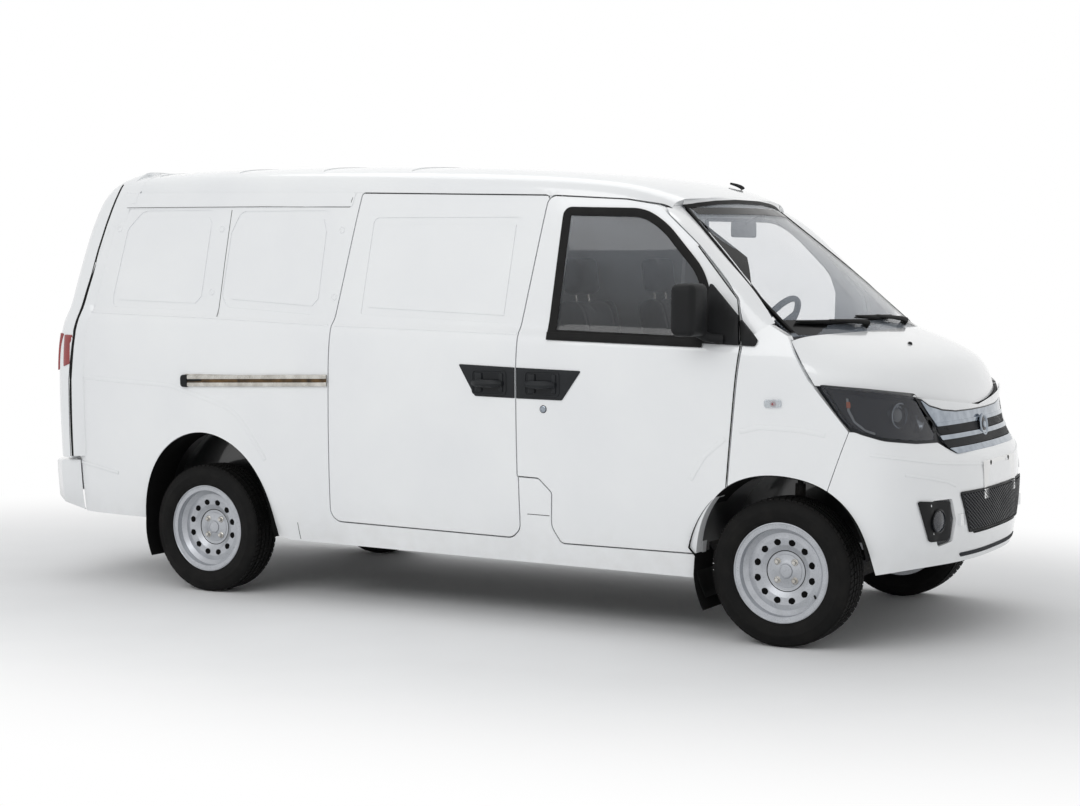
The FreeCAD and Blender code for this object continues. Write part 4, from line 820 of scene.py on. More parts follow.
# Two layers of slanting wires that cross inside an outline
def meshShape(corners, pitch, face, lift, slope=0.62, width=0.0036):
    heights = [b for _, b in corners]
    rise = max(heights) - min(heights)
    wires = []
    for sense in (-1, 1):
        for k in range(-60, 61):
            foot = Vector((k * pitch, min(heights)))
            line = clipped(foot, foot + Vector((sense * rise / slope, rise)), corners)
            if line and (line[1] - line[0]).length > 0.008:
                band = flatBand([tuple(line[0]), tuple(line[1])], width, spacing=0.06)
                wires.append(layOver(band, face, lift if sense > 0 else lift + 0.0022, 0.0024))
    return joined(wires)


def addGrille():
    face = smoothFace(bodySkin["grille"], (-0.46, 0.80), (0.46, 1.0))
    back = layOver(flatPlate(roundedOutline(grille["back"]), 0.035), face, 0.0006, 0.0012)
    finishPiece("grille_back", back, "glossBlack")
    for name, (lift, thickness) in grille["bars"].items():
        bar = layOver(flatPlate(roundedOutline(grille[name]), 0.035), face, lift, thickness, 0.0022)
        finishPiece(f"grille_{name}", bar, "chrome")
    for number, corners in enumerate(grille["meshes"]):
        wires = meshShape(corners, grille["meshPitch"], face, 0.0019)
        finishPiece(f"grille_mesh_{number}", wires, "meshPlastic")
    lip = layOver(flatPlate(roundedOutline(grille["lip"]), 0.03), face, 0.0022, 0.0065, 0.0025)
    finishPiece("bonnet_lip", lip, "whitePaint", "bonnet_lid")
    low = smoothFace(bodySkin["bumper"], (-0.50, 0.46), (0.50, 0.66))
    outline = roundedOutline(grille["lowerPlate"])
    finishPiece("lower_grille_back", layOver(flatPlate(outline, 0.035), low, 0.0008, 0.0012), "glossBlack")
    wires = meshShape(grille["lowerMesh"], grille["lowerPitch"], low, 0.0021, width=0.0048)
    finishPiece("lower_grille_mesh", wires, "meshPlastic")
    edge = layOver(flatBand(outline, 0.007, closed=True), low, 0.0010, 0.0050, 0.0015)
    finishPiece("lower_grille_frame", edge, "blackPlastic")
    ring = lathe([(0.034, 0.0), (0.048, 0.0), (0.049, 0.005), (0.0455, 0.010), (0.039, 0.009),
                  (0.034, 0.004)], 48, closed=True)
    badge = lathe([(0.0, -0.002), (0.036, -0.002), (0.036, 0.004), (0.020, 0.008), (0.0, 0.009)], 48)
    knob = lathe([(0.0, 0.006), (0.016, 0.006), (0.013, 0.0115), (0.0, 0.0125)], 32)
    z = grille["emblemHeight"]
    spot = Vector((face(0, z) + 0.010, 0, z))
    for name, shape, finish in (("ring", ring, "chrome"), ("disc", badge, "glossBlack"),
                                ("boss", knob, "chrome")):
        finishPiece(f"emblem_{name}", placed(shape, spot, grille["emblemFacing"]), finish)


addGrille()

# Bumper: blank plate carrier with four bolts, fog lamps in black bezels, a slot in the lower lip
bumperTrim = {
    "plate": {"width": 0.44, "low": 0.594, "high": 0.752, "limit": front(0.6775), "gap": 0.0030},
    "grilleTop": 0.665, "boltSide": 0.125, "boltHeights": (0.738, 0.610),
    "bezel": [(-0.672, 0.622, 0.010), (-0.479, 0.607, 0.014), (-0.465, 0.469, 0.012), (-0.480, 0.446, 0.012),
              (-0.604, 0.451, 0.020)],
    "creases": [[(0.892, 0.814), (1.05, 0.792), (1.2213, 0.767), (1.45, 0.746), (1.60, 0.735)],
                [(1.035, 0.731), (1.15, 0.712), (1.2587, 0.689), (1.31, 0.668)]],
    "fogPlace": (-0.556, 0.532), "fogFacing": (1, -0.25, 0), "fogDepth": 0.012,
    "lip": bothSides([(0.400, 0.384, 0.008), (0.372, 0.366, 0.006)]),
}


def addBumperTrim():
    plate = bumperTrim["plate"]
    low, high, half = plate["low"], plate["high"], plate["width"] / 2
    ahead = {}
    for z in (low, high):
        nose = spotOn(bodySkin["nose"], "front", 0, max(z, bumperTrim["grilleTop"]))
        ahead[z] = min(nose.x + plate["gap"], plate["limit"])
    rails = [[Vector((ahead[z] - plate["gap"], half * share, z)) for share in (-1, -0.5, 0, 0.5, 1)]
             for z in (low, high)]
    finishPiece("plate_carrier", sheet(rails, (0.0035, 0, 0), 0.001), "plateWhite")
    bolts = []
    for z in bumperTrim["boltHeights"]:
        for sign in (-1, 1):
            share = (z - low) / (high - low)
            head = lathe([(0.0, -0.001), (0.0115, -0.001), (0.0110, 0.0012), (0.0065, 0.0016),
                          (0.0060, 0.0030), (0.0, 0.0032)], 12)
            spot = (ahead[low] * (1 - share) + ahead[high] * share, sign * bumperTrim["boltSide"], z)
            bolts.append(placed(head, spot, (1, 0, 0)))
    finishPiece("plate_bolts", joined(bolts), "seal")
    outline = [((spotOn(bodySkin["noseAll"], "front", y, z).x + y) * slant, z, radius)
               for y, z, radius in bumperTrim["bezel"]]
    bezel = plateOn(outline, 0.02, "corner", bodySkin["noseAll"], 0.0045, 0.003, 0.001)
    finishPair("fog_bezel", bezel, "blackPlastic")
    for number, path in enumerate(bumperTrim["creases"]):
        crease = bandOn(path, 0.012, 0.03, "corner", bodySkin["bumper"], 0.0002, 0.0022, 0.0016)
        finishPair(f"bumper_crease_{number}", crease, "whitePaint")
    facing = Vector(bumperTrim["fogFacing"]).normalized()
    place = spotOn(bodySkin["lamps"], "front", *bumperTrim["fogPlace"]) + facing * bumperTrim["fogDepth"]
    ring = lathe([(0.046, 0.0), (0.049, 0.006), (0.044, 0.008), (0.041, 0.003), (0.041, -0.006),
                  (0.046, -0.006)], 40, closed=True)
    bulb = lathe([(0.041, 0.003), (0.030, -0.010), (0.014, -0.016), (0.006, -0.016), (0.005, 0.0),
                  (0.0, 0.001), (0.0, -0.020), (0.043, -0.008)], 40)
    glassDisc = lathe([(0.0, 0.009), (0.020, 0.008), (0.042, 0.004), (0.042, 0.002), (0.0, 0.006)], 40)
    finishPair("fog_ring", placed(ring, place, facing), "glossBlack")
    finishPair("fog_reflector", placed(bulb, place, facing), "chrome", "van_body", "lamp_clear")
    finishPair("fog_lens", placed(glassDisc, place, facing), "smokedLens")
    lip = plateOn(bumperTrim["lip"], 0.04, "front", bodySkin["bumper"], 0.0004, 0.002, 0.0006)
    finishPiece("bumper_lip_slot", lip, "darkTrim")


addBumperTrim()
print("stage: front done")

# Mirrors: a rounded housing on a short arm, silvered glass behind, a black sail over the door's front corner
mirror = {
    "size": (0.115, 0.165, 0.216), "place": (front(-0.3425), -0.9475, 1.391), "round": 0.030,
    "glass": (0.003, 0.108, 0.158), "armFoot": (front(-0.250), -0.824, 1.268),
    "armRadii": [0.024, 0.021, 0.019, 0.020], "sailInside": 0.006, "sailThickness": 0.016,
    "sail": [(front(-0.350), 1.250, 0.004), (front(-0.180), 1.244, 0.006), (front(-0.196), 1.364, 0.003),
             (front(-0.336), 1.506, 0.010)],
    "sailAhead": [(front(-0.167), 1.244, 0.004), (front(-0.108), 1.241, 0.012), (front(-0.098), 1.266, 0.014),
                  (front(-0.183), 1.352, 0.003)],
    "anchors": [(front(-0.365), 1.243), (front(-0.115), 1.255), (front(-0.322), 1.500)],
}


# The flat of the sail, through three spots on the door and wing, as Y at a place and height
def sailFlat():
    spots = [spotOn(bodySkin["doorFull"], "right", x, z) for x, z in mirror["anchors"]]
    across = (spots[1] - spots[0]).cross(spots[2] - spots[0]).normalized()
    return lambda x, z: spots[0].y - (across.x * (x - spots[0].x) + across.z * (z - spots[0].z)) / across.y


def sailPlate(outline, face):
    shape = flatPlate(roundedOutline(outline), 0.03)
    for vert in shape.verts:
        vert.co = Vector((vert.co.x, face(vert.co.x, vert.co.y) + mirror["sailInside"], vert.co.y))
    return thicken(shape, lambda vert: Vector((0, -mirror["sailThickness"], 0)), 0.002)


def addMirrors():
    depth, width, tall = mirror["size"]
    shell = roundedBlock(mirror["size"], (0, 0, 0), mirror["round"], 6)
    for vert in shell.verts:
        vert.co.y *= 1 - 0.07 * (vert.co.z / tall + 0.5) ** 2
        if vert.co.x > 0:
            vert.co.x *= 1 - 0.22 * (vert.co.y / width * 2) ** 2
    bmesh.ops.translate(shell, vec=mirror["place"], verts=shell.verts)
    x, y, z = mirror["place"]
    arm = rodShape([(x + 0.004, y + 0.045, z - 0.082), (x + 0.030, y + 0.080, z - 0.112),
                    (x + 0.055, y + 0.105, z - 0.120), mirror["armFoot"]], mirror["armRadii"], True, 3)
    finishPair("mirror_shell", joined([shell, arm]), "blackPlastic", "door_{}", stands=["mirror_{}"],
               sharpAngle=40)
    pane = roundedBlock(mirror["glass"], (x - depth / 2 + 0.0008, y, z), 0.0014, 2)
    finishPair("mirror_glass", pane, "mirrorGlass", "door_{}")
    face = sailFlat()
    finishPair("mirror_sail", sailPlate(mirror["sail"], face), "blackPlastic", "door_{}")
    finishPair("wing_corner_trim", sailPlate(mirror["sailAhead"], face), "blackPlastic")


addMirrors()

# Side windows: a black rubber frame round the glass, broader along the belt
window = {
    "edge": [(front(-1.079), 1.272, 0.025), (front(-0.360), 1.250, 0.02), (front(-0.345), 1.448, 0.14),
             (front(-0.376), 1.545, 0.28), (front(-0.560), 1.740, 0.40), (front(-0.665), 1.804, 0.22),
             (front(-1.046), 1.817, 0.03)],
    "frameWidth": 0.038, "innerWidth": 0.014,
    "belt": [(front(-1.086), 1.2665), (front(-0.345), 1.2445)], "beltHeight": 0.034, "beltLean": 0.20,
    "rearPane": bothSides([(0.560, 1.430, 0.07), (0.500, 1.860, 0.09)]),
    "heaterLines": 13, "heaterLow": 1.50, "heaterPitch": 0.025, "heaterHalf": 0.47, "heaterDraw": 0.03,
}


def addWindows():
    edge = roundedOutline(window["edge"], 6)
    frame = flatBand(edge, window["frameWidth"], closed=True, spacing=0.04, offset=0.005)
    frame = layOn(frame, "right", bodySkin["doorFull"], 0.0010, 0.003, 0.0008)
    finishPair("window_frame", frame, "seal", "door_{}")
    (startX, startZ), (endX, endZ) = window["belt"]
    belt = flatBand([(startX, startZ + 0.005), (endX, endZ + 0.005)], window["beltHeight"], spacing=0.04)
    for vert in belt.verts:
        x, z = vert.co.x, vert.co.y
        middle = startZ + (endZ - startZ) * (x - startX) / (endX - startX)
        door = spotOn(bodySkin["door"], "right", x, middle - 0.030)
        y = (door.y if door else -0.82) + 0.0035 + window["beltLean"] * (z - middle + 0.012)
        vert.co = Vector((x, y, z))
    belt = thicken(belt, lambda vert: Vector((0, -0.008, 0)), 0.002)
    finishPair("window_belt_seal", belt, "seal", "door_{}")
    inner = flatBand(edge, window["innerWidth"], closed=True, spacing=0.04, offset=0.007)
    finishPair("glass_run_seal", layOn(inner, "right", bodySkin["glass"], 0.0003, 0.0022), "seal", "door_{}")
    outline = roundedOutline(window["rearPane"], 6)
    frame = flatBand(outline, 0.016, closed=True, offset=-0.006)
    frame = layOn(frame, "rear", bodySkin["tailgate"], 0.0006, 0.003)
    finishPiece("rear_window_seal", frame, "seal", "tailgate_door")
    glass = bodySkin["tailGlass"]
    frit = layOn(flatBand(outline, 0.034, closed=True, offset=0.018), "rear", glass, 0.0003, 0.0006)
    finishPiece("rear_window_border", frit, "frit", "tailgate_door")
    lines = []
    for k in range(window["heaterLines"]):
        half = window["heaterHalf"] - window["heaterDraw"] * abs(k - 6) / 6
        z = window["heaterLow"] + window["heaterPitch"] * k
        lines.append(bandOn([(-half, z), (half, z)], 0.0022, 0.08, "rear", glass, 0.0003, 0.0004))
    finishPiece("rear_heater_lines", joined(lines), "castIron", "tailgate_door")


addWindows()

# Windscreen: a fired black border, broad at the foot, and the wipers on it
screenEdge = {
    "side": [(0.728, 1.300), (0.706, 1.440), (0.663, 1.545), (0.612, 1.645), (0.566, 1.740), (0.522, 1.822)],
    "top": [(-0.500, 1.808), (-0.25, 1.812), (0, 1.814), (0.25, 1.812), (0.500, 1.808)],
    "foot": [(-0.720, 1.316), (-0.5, 1.312), (-0.25, 1.308), (0.25, 1.308), (0.5, 1.312), (0.720, 1.316)],
    "sideWidth": 0.040, "topWidth": 0.030, "footWidth": 0.060, "gasketRadius": 0.0065,
    "headHalf": 0.530, "headSteps": 24, "headLow": 1.780, "headHigh": 1.95, "headStep": 0.002,
    "headThickness": 0.0025,
}


def onScreen(y, z, lift):
    spot, normal, _, _ = bodySkin["screen"].ray_cast(Vector((4, y, z)), Vector((-1, 0, 0)))
    return spot + (normal if normal.x > 0 else -normal) * lift


def addScreenBorder():
    right = [(-y, z) for y, z in screenEdge["side"]]
    bands = [flatBand(right, screenEdge["sideWidth"], spacing=0.05, offset=0.004),
             flatBand(screenEdge["side"], screenEdge["sideWidth"], spacing=0.05, offset=-0.004),
             flatBand(screenEdge["top"], screenEdge["topWidth"], spacing=0.06),
             flatBand(screenEdge["foot"], screenEdge["footWidth"], spacing=0.05)]
    border = [layOn(band, "front", bodySkin["screen"], 0.0003 + 0.0002 * k, 0.0005)
              for k, band in enumerate(bands)]
    finishPiece("screen_border", joined(border), "frit")
    radii = [screenEdge["gasketRadius"]] * len(right)
    edges = [rodShape([onScreen(sign * y, z, 0.003) for y, z in right], radii, True) for sign in (1, -1)]
    finishPiece("screen_gasket", joined(edges), "seal")
    # The join of screen and roof: the height where the roof comes in front of the glass, at each side place
    black, white = [], []
    for k in range(screenEdge["headSteps"] + 1):
        y = screenEdge["headHalf"] * (2 * k / screenEdge["headSteps"] - 1)
        top = screenEdge["headLow"]
        while top < screenEdge["headHigh"]:
            roof, glass = (spotOn(bodySkin[key], "front", y, top + screenEdge["headStep"])
                           for key in ("roof", "screen"))
            if roof and (not glass or roof.x > glass.x):
                break
            top += screenEdge["headStep"]
        glassLow, glassTop = onScreen(y, top - 0.016, 0.0015), onScreen(y, top - 0.004, 0.0045)
        roof = spotOn(bodySkin["roof"], "front", y, top + 0.016)
        roof = roof + Vector((0.0015, 0, 0.001)) if roof else glassTop + Vector((0, 0, 0.02))
        edge = glassTop.lerp(roof, 0.15)
        black.append((glassLow, edge))
        white.append((edge, roof))
    ahead = (screenEdge["headThickness"], 0, 0)
    finishPiece("screen_head_white", sheet(white, ahead), "whitePaint")
    finishPiece("screen_head_black", sheet(black, ahead), "seal")


addScreenBorder()

# Wipers: a spindle, a bent arm, and a blade with its rubber on two small yokes, from (side, height) places
wiperSets = [
    {"spindle": (-0.250, 1.310),
     "blade": [(-0.300, 1.322), (-0.430, 1.324), (-0.560, 1.326), (-0.670, 1.330)]},
    {"spindle": (0.230, 1.310),
     "blade": [(0.110, 1.338), (-0.020, 1.336), (-0.150, 1.338), (-0.270, 1.344)]},
]


def addWipers():
    shapes = []
    for layout in wiperSets:
        blade = layout["blade"]
        foot, head = onScreen(*layout["spindle"], 0.0008), onScreen(*layout["spindle"], 0.022)
        middle = (onScreen(*blade[1], 0.020) + onScreen(*blade[2], 0.020)) / 2
        elbow = head.lerp(middle, 0.30) + Vector((0.004, 0, 0.004))
        shapes.append(rodShape([foot, head], [0.015, 0.012], resolution=3))
        arm = [head - Vector((0, 0.004, 0)), head, elbow, middle]
        shapes.append(rodShape(arm, [0.012, 0.013, 0.0095, 0.0065], True, 3))
        for lift, thin, thick in ((0.0150, 0.0035, 0.0080), (0.0060, 0.0025, 0.0045)):
            line = [onScreen(y, z, lift) for y, z in blade]
            shapes.append(rodShape(line, [thin, thick, thick, thin], True))
        for y, z in blade[1:3]:
            yoke = [onScreen(y + 0.03, z, 0.010), onScreen(y, z, 0.019), onScreen(y - 0.03, z, 0.010)]
            shapes.append(rodShape(yoke, [0.003, 0.0045, 0.003], True))
    finishPiece("wiper_arms", joined(shapes), "seal", stands=["wipers"])


addWipers()

# Door furniture: black handle panels split at the door gap, hooped pulls over a hollow darkened as painted
# shade by a gloss black plate, a lock
doorFurniture = {
    "slidingPanel": [(front(-1.526), 1.141, 0.006), (front(-1.2375), 1.1315, 0.002),
                     (front(-1.2375), 0.997, 0.002), (front(-1.441), 1.001, 0.014)],
    "doorPanel": [(front(-1.2285), 1.1312, 0.002), (front(-0.907), 1.123, 0.006),
                  (front(-1.001), 0.9935, 0.014), (front(-1.2285), 0.9965, 0.002)],
    "hollows": {"sliding": (front(-1.452), front(-1.282)), "door": (front(-1.182), front(-1.016))},
    "hollowLow": 1.010, "hollowHigh": 1.116, "lock": (front(-1.095), 0.953),
}


def addDoorFurniture():
    low, high = doorFurniture["hollowLow"], doorFurniture["hollowHigh"]
    middle = (low + high) / 2
    for key, body in (("sliding", "van_body"), ("door", "door_{}")):
        skin = bodySkin[key]
        panel = plateOn(doorFurniture[f"{key}Panel"], 0.03, "right", skin, 0.0005, 0.0035, 0.0012)
        finishPair(f"handle_panel_{key}", panel, "handlePlastic", body)
        start, end = doorFurniture["hollows"][key]
        corners = roundedOutline(oblong((start, low), (end, high), 0.02))
        ring = layOn(flatBand(corners, 0.007, closed=True), "right", skin, 0.0035, 0.004, 0.0012)
        place = lambda x, z, out: spotOn(skin, "right", x, z) - Vector((0, out, 0))
        hoop = [(start + 0.008, 0.006), (start + 0.030, 0.022), ((start + end) / 2, 0.027),
                (end - 0.045, 0.022), (end - 0.022, 0.006)]
        hoop = [place(x, middle - 0.004, out) for x, out in hoop]
        pull = rodShape(hoop, [0.014, 0.018, 0.018, 0.018, 0.014], True, 3)
        tall = high - low
        posts = [roundedBlock((0.034, 0.014, tall - 0.022), place(start + 0.034, middle, 0.006), 0.006, 3),
                 roundedBlock((0.020, 0.010, tall - 0.024), place(end - 0.024, middle, 0.004), 0.004, 2)]
        finishPair(f"door_pull_{key}", joined([ring, pull] + posts), "handlePlastic", body)
        # Painted shade: a darker gloss black plate, laid just under the panel's face, stands for the shade in
        # the pull's hollow
        dark = oblong((start + 0.008, low + 0.010), (end - 0.008, high - 0.010), 0.016)
        hollow = plateOn(dark, 0.03, "right", skin, 0.0037, 0.0008)
        finishPair(f"pull_hollow_{key}", hollow, "glossBlack", body)
    spot = spotOn(bodySkin["door"], "right", *doorFurniture["lock"])
    barrel = lathe([(0.0, -0.001), (0.0145, -0.001), (0.0145, 0.0026), (0.0115, 0.0046), (0.0090, 0.0046),
                    (0.0080, 0.0030), (0.0, 0.0030)], 32)
    collar = lathe([(0.0, -0.001), (0.0175, -0.001), (0.0170, 0.0012), (0.0, 0.0012)], 32)
    finishPair("door_lock", placed(barrel, spot, (0, -1, 0)), "chrome", "door_{}", "bright_steel")
    finishPair("lock_collar", placed(collar, spot, (0, -1, 0)), "seal", "door_{}", "bright_steel")


addDoorFurniture()

# Side trim: sliding-door rail with its stained slot and end cap, repeater, seams, plugs, creases, mud flap
sideTrim = {
    "railLow": 1.0005, "railHigh": 1.0555, "railStart": rear(-0.078), "railEnd": rear(0.757),
    "railRise": 0.0215, "railThickness": 0.0120, "slotLift": 0.0080,
    "repeater": [(front(-0.057), 1.026, 0.012), (front(0.019), 1.028, 0.012), (front(0.019), 0.994, 0.012),
                 (front(-0.057), 0.992, 0.012)],
    "bulb": (front(-0.018), 1.0085),
    "plugs": [(rear(-0.587), 1.768), (rear(0.064), 1.759), (rear(0.770), 1.745), (rear(0.037), 1.456),
              (rear(0.757), 1.434)],
    "waist": {"flank": [(rear(-0.770), 1.357), (rear(-0.013), 1.336), (rear(0.745), 1.306)],
              "sliding": [(front(-2.245), 1.305), (front(-1.745), 1.293), (front(-1.242), 1.278)]},
    "bandSeams": [[(rear(-0.625), 1.8735), (rear(0.300), 1.862), (rear(0.803), 1.851)],
                  [(rear(0.803), 1.851), (rear(0.8215), 1.918)]],
    "flares": {"flank": [(rear(-0.80), 1.030), (rear(-0.182), 1.004), (rear(0.213), 0.895),
                         (rear(0.382), 0.662)],
               "wing": [(front(-0.168), 0.890), (front(-0.076), 0.912), (front(0.100), 0.905),
                        (front(0.205), 0.888)],
               "door": [(front(-0.394), 0.678), (front(-0.330), 0.780), (front(-0.236), 0.858)]},
    "seams": [[(rear(0.115), 1.850), (rear(0.100), 1.600), (rear(0.087), 1.338)],
              [(front(-1.225), 0.488), (front(-1.075), 0.486)],
              [(rear(0.552), 0.372), (rear(0.560), 0.292)]],
    "flap": {"foot": (front(-0.344), 0.178), "top": (front(-0.383), 0.370), "outer": -0.812, "inner": -0.640,
             "footDraw": 0.03, "bow": 0.012, "thickness": 0.006},
}


def addSideTrim():
    start, end, rise = sideTrim["railStart"], sideTrim["railEnd"], sideTrim["railRise"]
    low, high = sideTrim["railLow"], sideTrim["railHigh"]
    middle, third, thick = (low + high) / 2, (high - low) * 0.36, sideTrim["railThickness"]
    skin, wing = bodySkin["flank"], bodySkin["wing"]
    rail = joined([bandOn([(start, z), (end, z + rise)], third, 0.05, "right", skin, 0.0006, thick, 0.003)
                   for z in (high - third / 2, low + third / 2)])
    finishPair("sliding_rail", rail, "brightSteel")
    slot = bandOn([(start, middle), (end, middle + rise)], (high - low) * 0.30, 0.05, "right", skin,
                  sideTrim["slotLift"], 0.0020)
    finishPair("rail_slot", slot, "stainedSteel")
    runner = bandOn([(start, middle + 0.004), (start + 0.10, middle + 0.0065)], 0.010, 0.03, "right", skin,
                    sideTrim["slotLift"], 0.0026)
    finishPair("rail_runner", runner, "seal")
    cap = [(start - 0.030, high + 0.001, 0.020), (start + 0.012, high + 0.003, 0.003),
           (start + 0.012, low - 0.002, 0.003), (start - 0.030, low - 0.003, 0.020)]
    finishPair("rail_end_cap", plateOn(cap, 0.02, "right", skin, 0.0006, 0.0135, 0.003), "blackPlastic")
    lamp = plateOn(sideTrim["repeater"], 0.012, "right", wing, 0.0006, 0.009, 0.004)
    finishPair("side_repeater", lamp, "clearLens")
    bulb = lathe([(0.0, 0.0), (0.0115, 0.0005), (0.0095, 0.0085), (0.0, 0.0105)], 20)
    bulb = placed(bulb, spotOn(wing, "right", *sideTrim["bulb"]), (0, -1, 0))
    finishPair("repeater_bulb", bulb, "redLens", "van_body", "lamp_clear")
    seams = [bandOn(path, 0.0028, 0.04, "right", skin, 0.00025, 0.0004) for path in sideTrim["seams"]]
    finishPair("panel_seams", joined(seams), "seal")
    fine = [bandOn(path, 0.0022, 0.05, "right", bodySkin["rearCorner"], 0.0006, 0.0006)
            for path in sideTrim["bandSeams"]]
    finishPair("roof_band_seams", joined(fine), "seal")
    plugs = []
    for x, z in sideTrim["plugs"]:
        spot, normal, _, _ = skin.ray_cast(Vector((x, -3, z)), Vector((0, 1, 0)))
        if spot:
            dish = lathe([(0.0, 0.0004), (0.0105, 0.0004), (0.0125, 0.0030), (0.0145, 0.0030), (0.0165, 0.0),
                          (0.0160, -0.002), (0.0, -0.002)], 28)
            plugs.append(placed(dish, spot, normal if normal.y < 0 else -normal))
    finishPair("panel_plugs", joined(plugs), "whitePaint")
    for key, path in sideTrim["waist"].items():
        strip = bandOn(path, 0.009, 0.05, "right", bodySkin[key], 0.0002, 0.0018, 0.0014)
        finishPair(f"waist_step_{key}", strip, "whitePaint")
    for key, (first, *bends, last) in sideTrim["flares"].items():
        radius = 0.30 if key == "flank" else 0.12
        curve = roundedOutline([(*first, 0)] + [(*bend, radius) for bend in bends] + [(*last, 0)], 8)
        strip = bandOn(curve, 0.020, 0.03, "right", bodySkin[key], 0.0001, 0.0016, 0.0015)
        body = "door_{}" if key == "door" else "van_body"
        finishPair(f"wheel_flare_{key}", strip, "whitePaint", body)
    flap = sideTrim["flap"]
    (lowX, lowZ), (topX, topZ) = flap["foot"], flap["top"]
    corners = [(lowX, flap["outer"] + flap["footDraw"], lowZ), (lowX, flap["inner"], lowZ),
               (topX, flap["inner"], topZ), (topX, flap["outer"], topZ)]
    shape = bmesh.new()
    shape.faces.new([shape.verts.new(corner) for corner in corners])
    bmesh.ops.subdivide_edges(shape, edges=shape.edges[:], cuts=5, use_grid_fill=True)
    for vert in shape.verts:
        vert.co.x -= flap["bow"] * math.sin(math.pi * (vert.co.z - lowZ) / (topZ - lowZ))
    shape.normal_update()
    finishPair("mud_flap", thicken(shape, lambda vert: Vector((-flap["thickness"], 0, 0)), 0.002), "seal")


addSideTrim()

# The rear end: an outer skin for the bumper, the tailgate's black seal with the body's edge ahead of it,
# a patch over the roof's rear corner, lamp wraps, a low crease, and the front door's black edge
rearEnd = {
    "seal": [(rear(-0.615), 1.991), (rear(-0.627), 1.941), (rear(-0.652), 1.868), (rear(-0.679), 1.783),
             (rear(-0.712), 1.660), (rear(-0.736), 1.545), (rear(-0.761), 1.452), (rear(-0.779), 1.371),
             (rear(-0.793), 1.313), (rear(-0.803), 1.263), (rear(-0.833), 1.011), (rear(-0.838), 0.800),
             (rear(-0.840), 0.628)],
    "sealWidth": 0.012, "coverWidth": 0.060, "cornerWidth": 0.120, "cornerFrom": 1.80,
    "roofSeam": [(0.826, rear(-0.652)), (0.895, rear(-0.627)), (0.941, rear(-0.615)), (1.046, rear(-0.575)),
                 (1.120, rear(-0.520))],
    "patchSteps": 14, "patchLow": 0.84, "patchStep": 0.02, "patchBehind": 0.020, "patchAhead": 0.150,
    "patchBend": 0.945, "patchInset": 0.026,
    "plan": [(rear(-0.822), 0.828, 0.352), (rear(-0.905), 0.830, 0.392), (rear(-0.955), 0.808, 0.415),
             (rear(-0.992), 0.755, 0.425), (rear(-1.014), 0.660, 0.428), (rear(-1.028), 0.480, 0.430),
             (rear(-1.036), 0.220, 0.430), (rear(-1.037), 0.0, 0.430)],
    "bumperTop": 0.606, "bumperThickness": 0.003,
    "rungs": [(0.030, 0.0), (0.004, 0.0), (0.0, 0.05), (0.0, 0.35), (0.0, 0.70), (0.0, 0.96), (0.005, 1.0),
              (0.055, 1.01)],
    "inset": [(0.345, 0.028), (0.400, 0.012), (0.520, 0.002), (0.590, 0.0), (0.610, 0.0)],
    "lamp": [(rear(-0.868), 1.240, 0.006), (rear(-0.811), 1.240, 0.010), (rear(-0.817), 1.188, 0.3),
             (rear(-0.828), 1.096, 0.006), (rear(-0.872), 1.080, 0.006)],
    "crease": [(rear(-0.815), 0.596), (rear(-0.700), 0.583), (rear(-0.545), 0.556)],
    "doorEdge": [(front(-0.2315), 0.655), (front(-0.1757), 1.235), (front(-0.2078), 1.432),
                 (front(-0.4030), 1.655)],
}


# A place beside the tailgate's gap: on the skin, or on the chord from near to far where the skin dips in
def bridged(skin, near, far, x, z, lift):
    chord = near.y + (far.y - near.y) * (x - near.x) / (far.x - near.x)
    hit = spotOn(skin, "right", x, z)
    y = min(chord, hit.y) if hit and hit.y < chord + 0.02 else chord
    return Vector((x, y - lift, z))


def addTailgateEdge():
    skin, seal, half = bodySkin["rearCorner"], rearEnd["seal"], rearEnd["sealWidth"] / 2
    path = [(x + (nextX - x) * k / 3, z + (nextZ - z) * k / 3)
            for (x, z), (nextX, nextZ) in zip(seal, seal[1:]) for k in range(3)]
    black, white, patch = [], [], []
    for seamX, z in path + [seal[-1]]:
        width = rearEnd["cornerWidth"] if z > rearEnd["cornerFrom"] else rearEnd["coverWidth"]
        near, far = spotOn(skin, "right", seamX - 0.014, z), spotOn(skin, "right", seamX + width, z)
        if near and far:
            black.append([bridged(skin, near, far, x, z, 0.0008) for x in (seamX - half, seamX + half)])
            white.append([bridged(skin, near, far, seamX + half + (width - half) * k / 4, z,
                                  0.0006 if k < 4 else -0.0004) for k in range(5)])
    finishPair("tailgate_seal", sheet(black, (0, -0.0010, 0)), "seal")
    inward, away = Vector((0, slant, -slant)), 3 * slant
    for k in range(rearEnd["patchSteps"]):
        b = rearEnd["patchLow"] + rearEnd["patchStep"] * k
        seamX = float(numpy.interp(b, *zip(*rearEnd["roofSeam"])))
        start, end = (skin.ray_cast(Vector((x, b * slant - away, b * slant + away)), inward)[0]
                      for x in (seamX - rearEnd["patchBehind"], seamX + rearEnd["patchAhead"]))
        if start and end:
            first = 0.0
            if b <= rearEnd["patchBend"]:
                first = rearEnd["patchInset"] / (rearEnd["patchBehind"] + rearEnd["patchAhead"])
            patch.append([start.lerp(end, first + (1 - first) * share / 4)
                          - inward * (0.0012 if 0 < share < 4 else 0.0002) for share in range(5)])
    finishPair("roof_corner_patch", sheet(patch, (0, -0.0008, 0.0008)), "whitePaint")
    finishPair("rear_corner_edge", sheet(white, (0, -0.0008, 0)), "whitePaint")


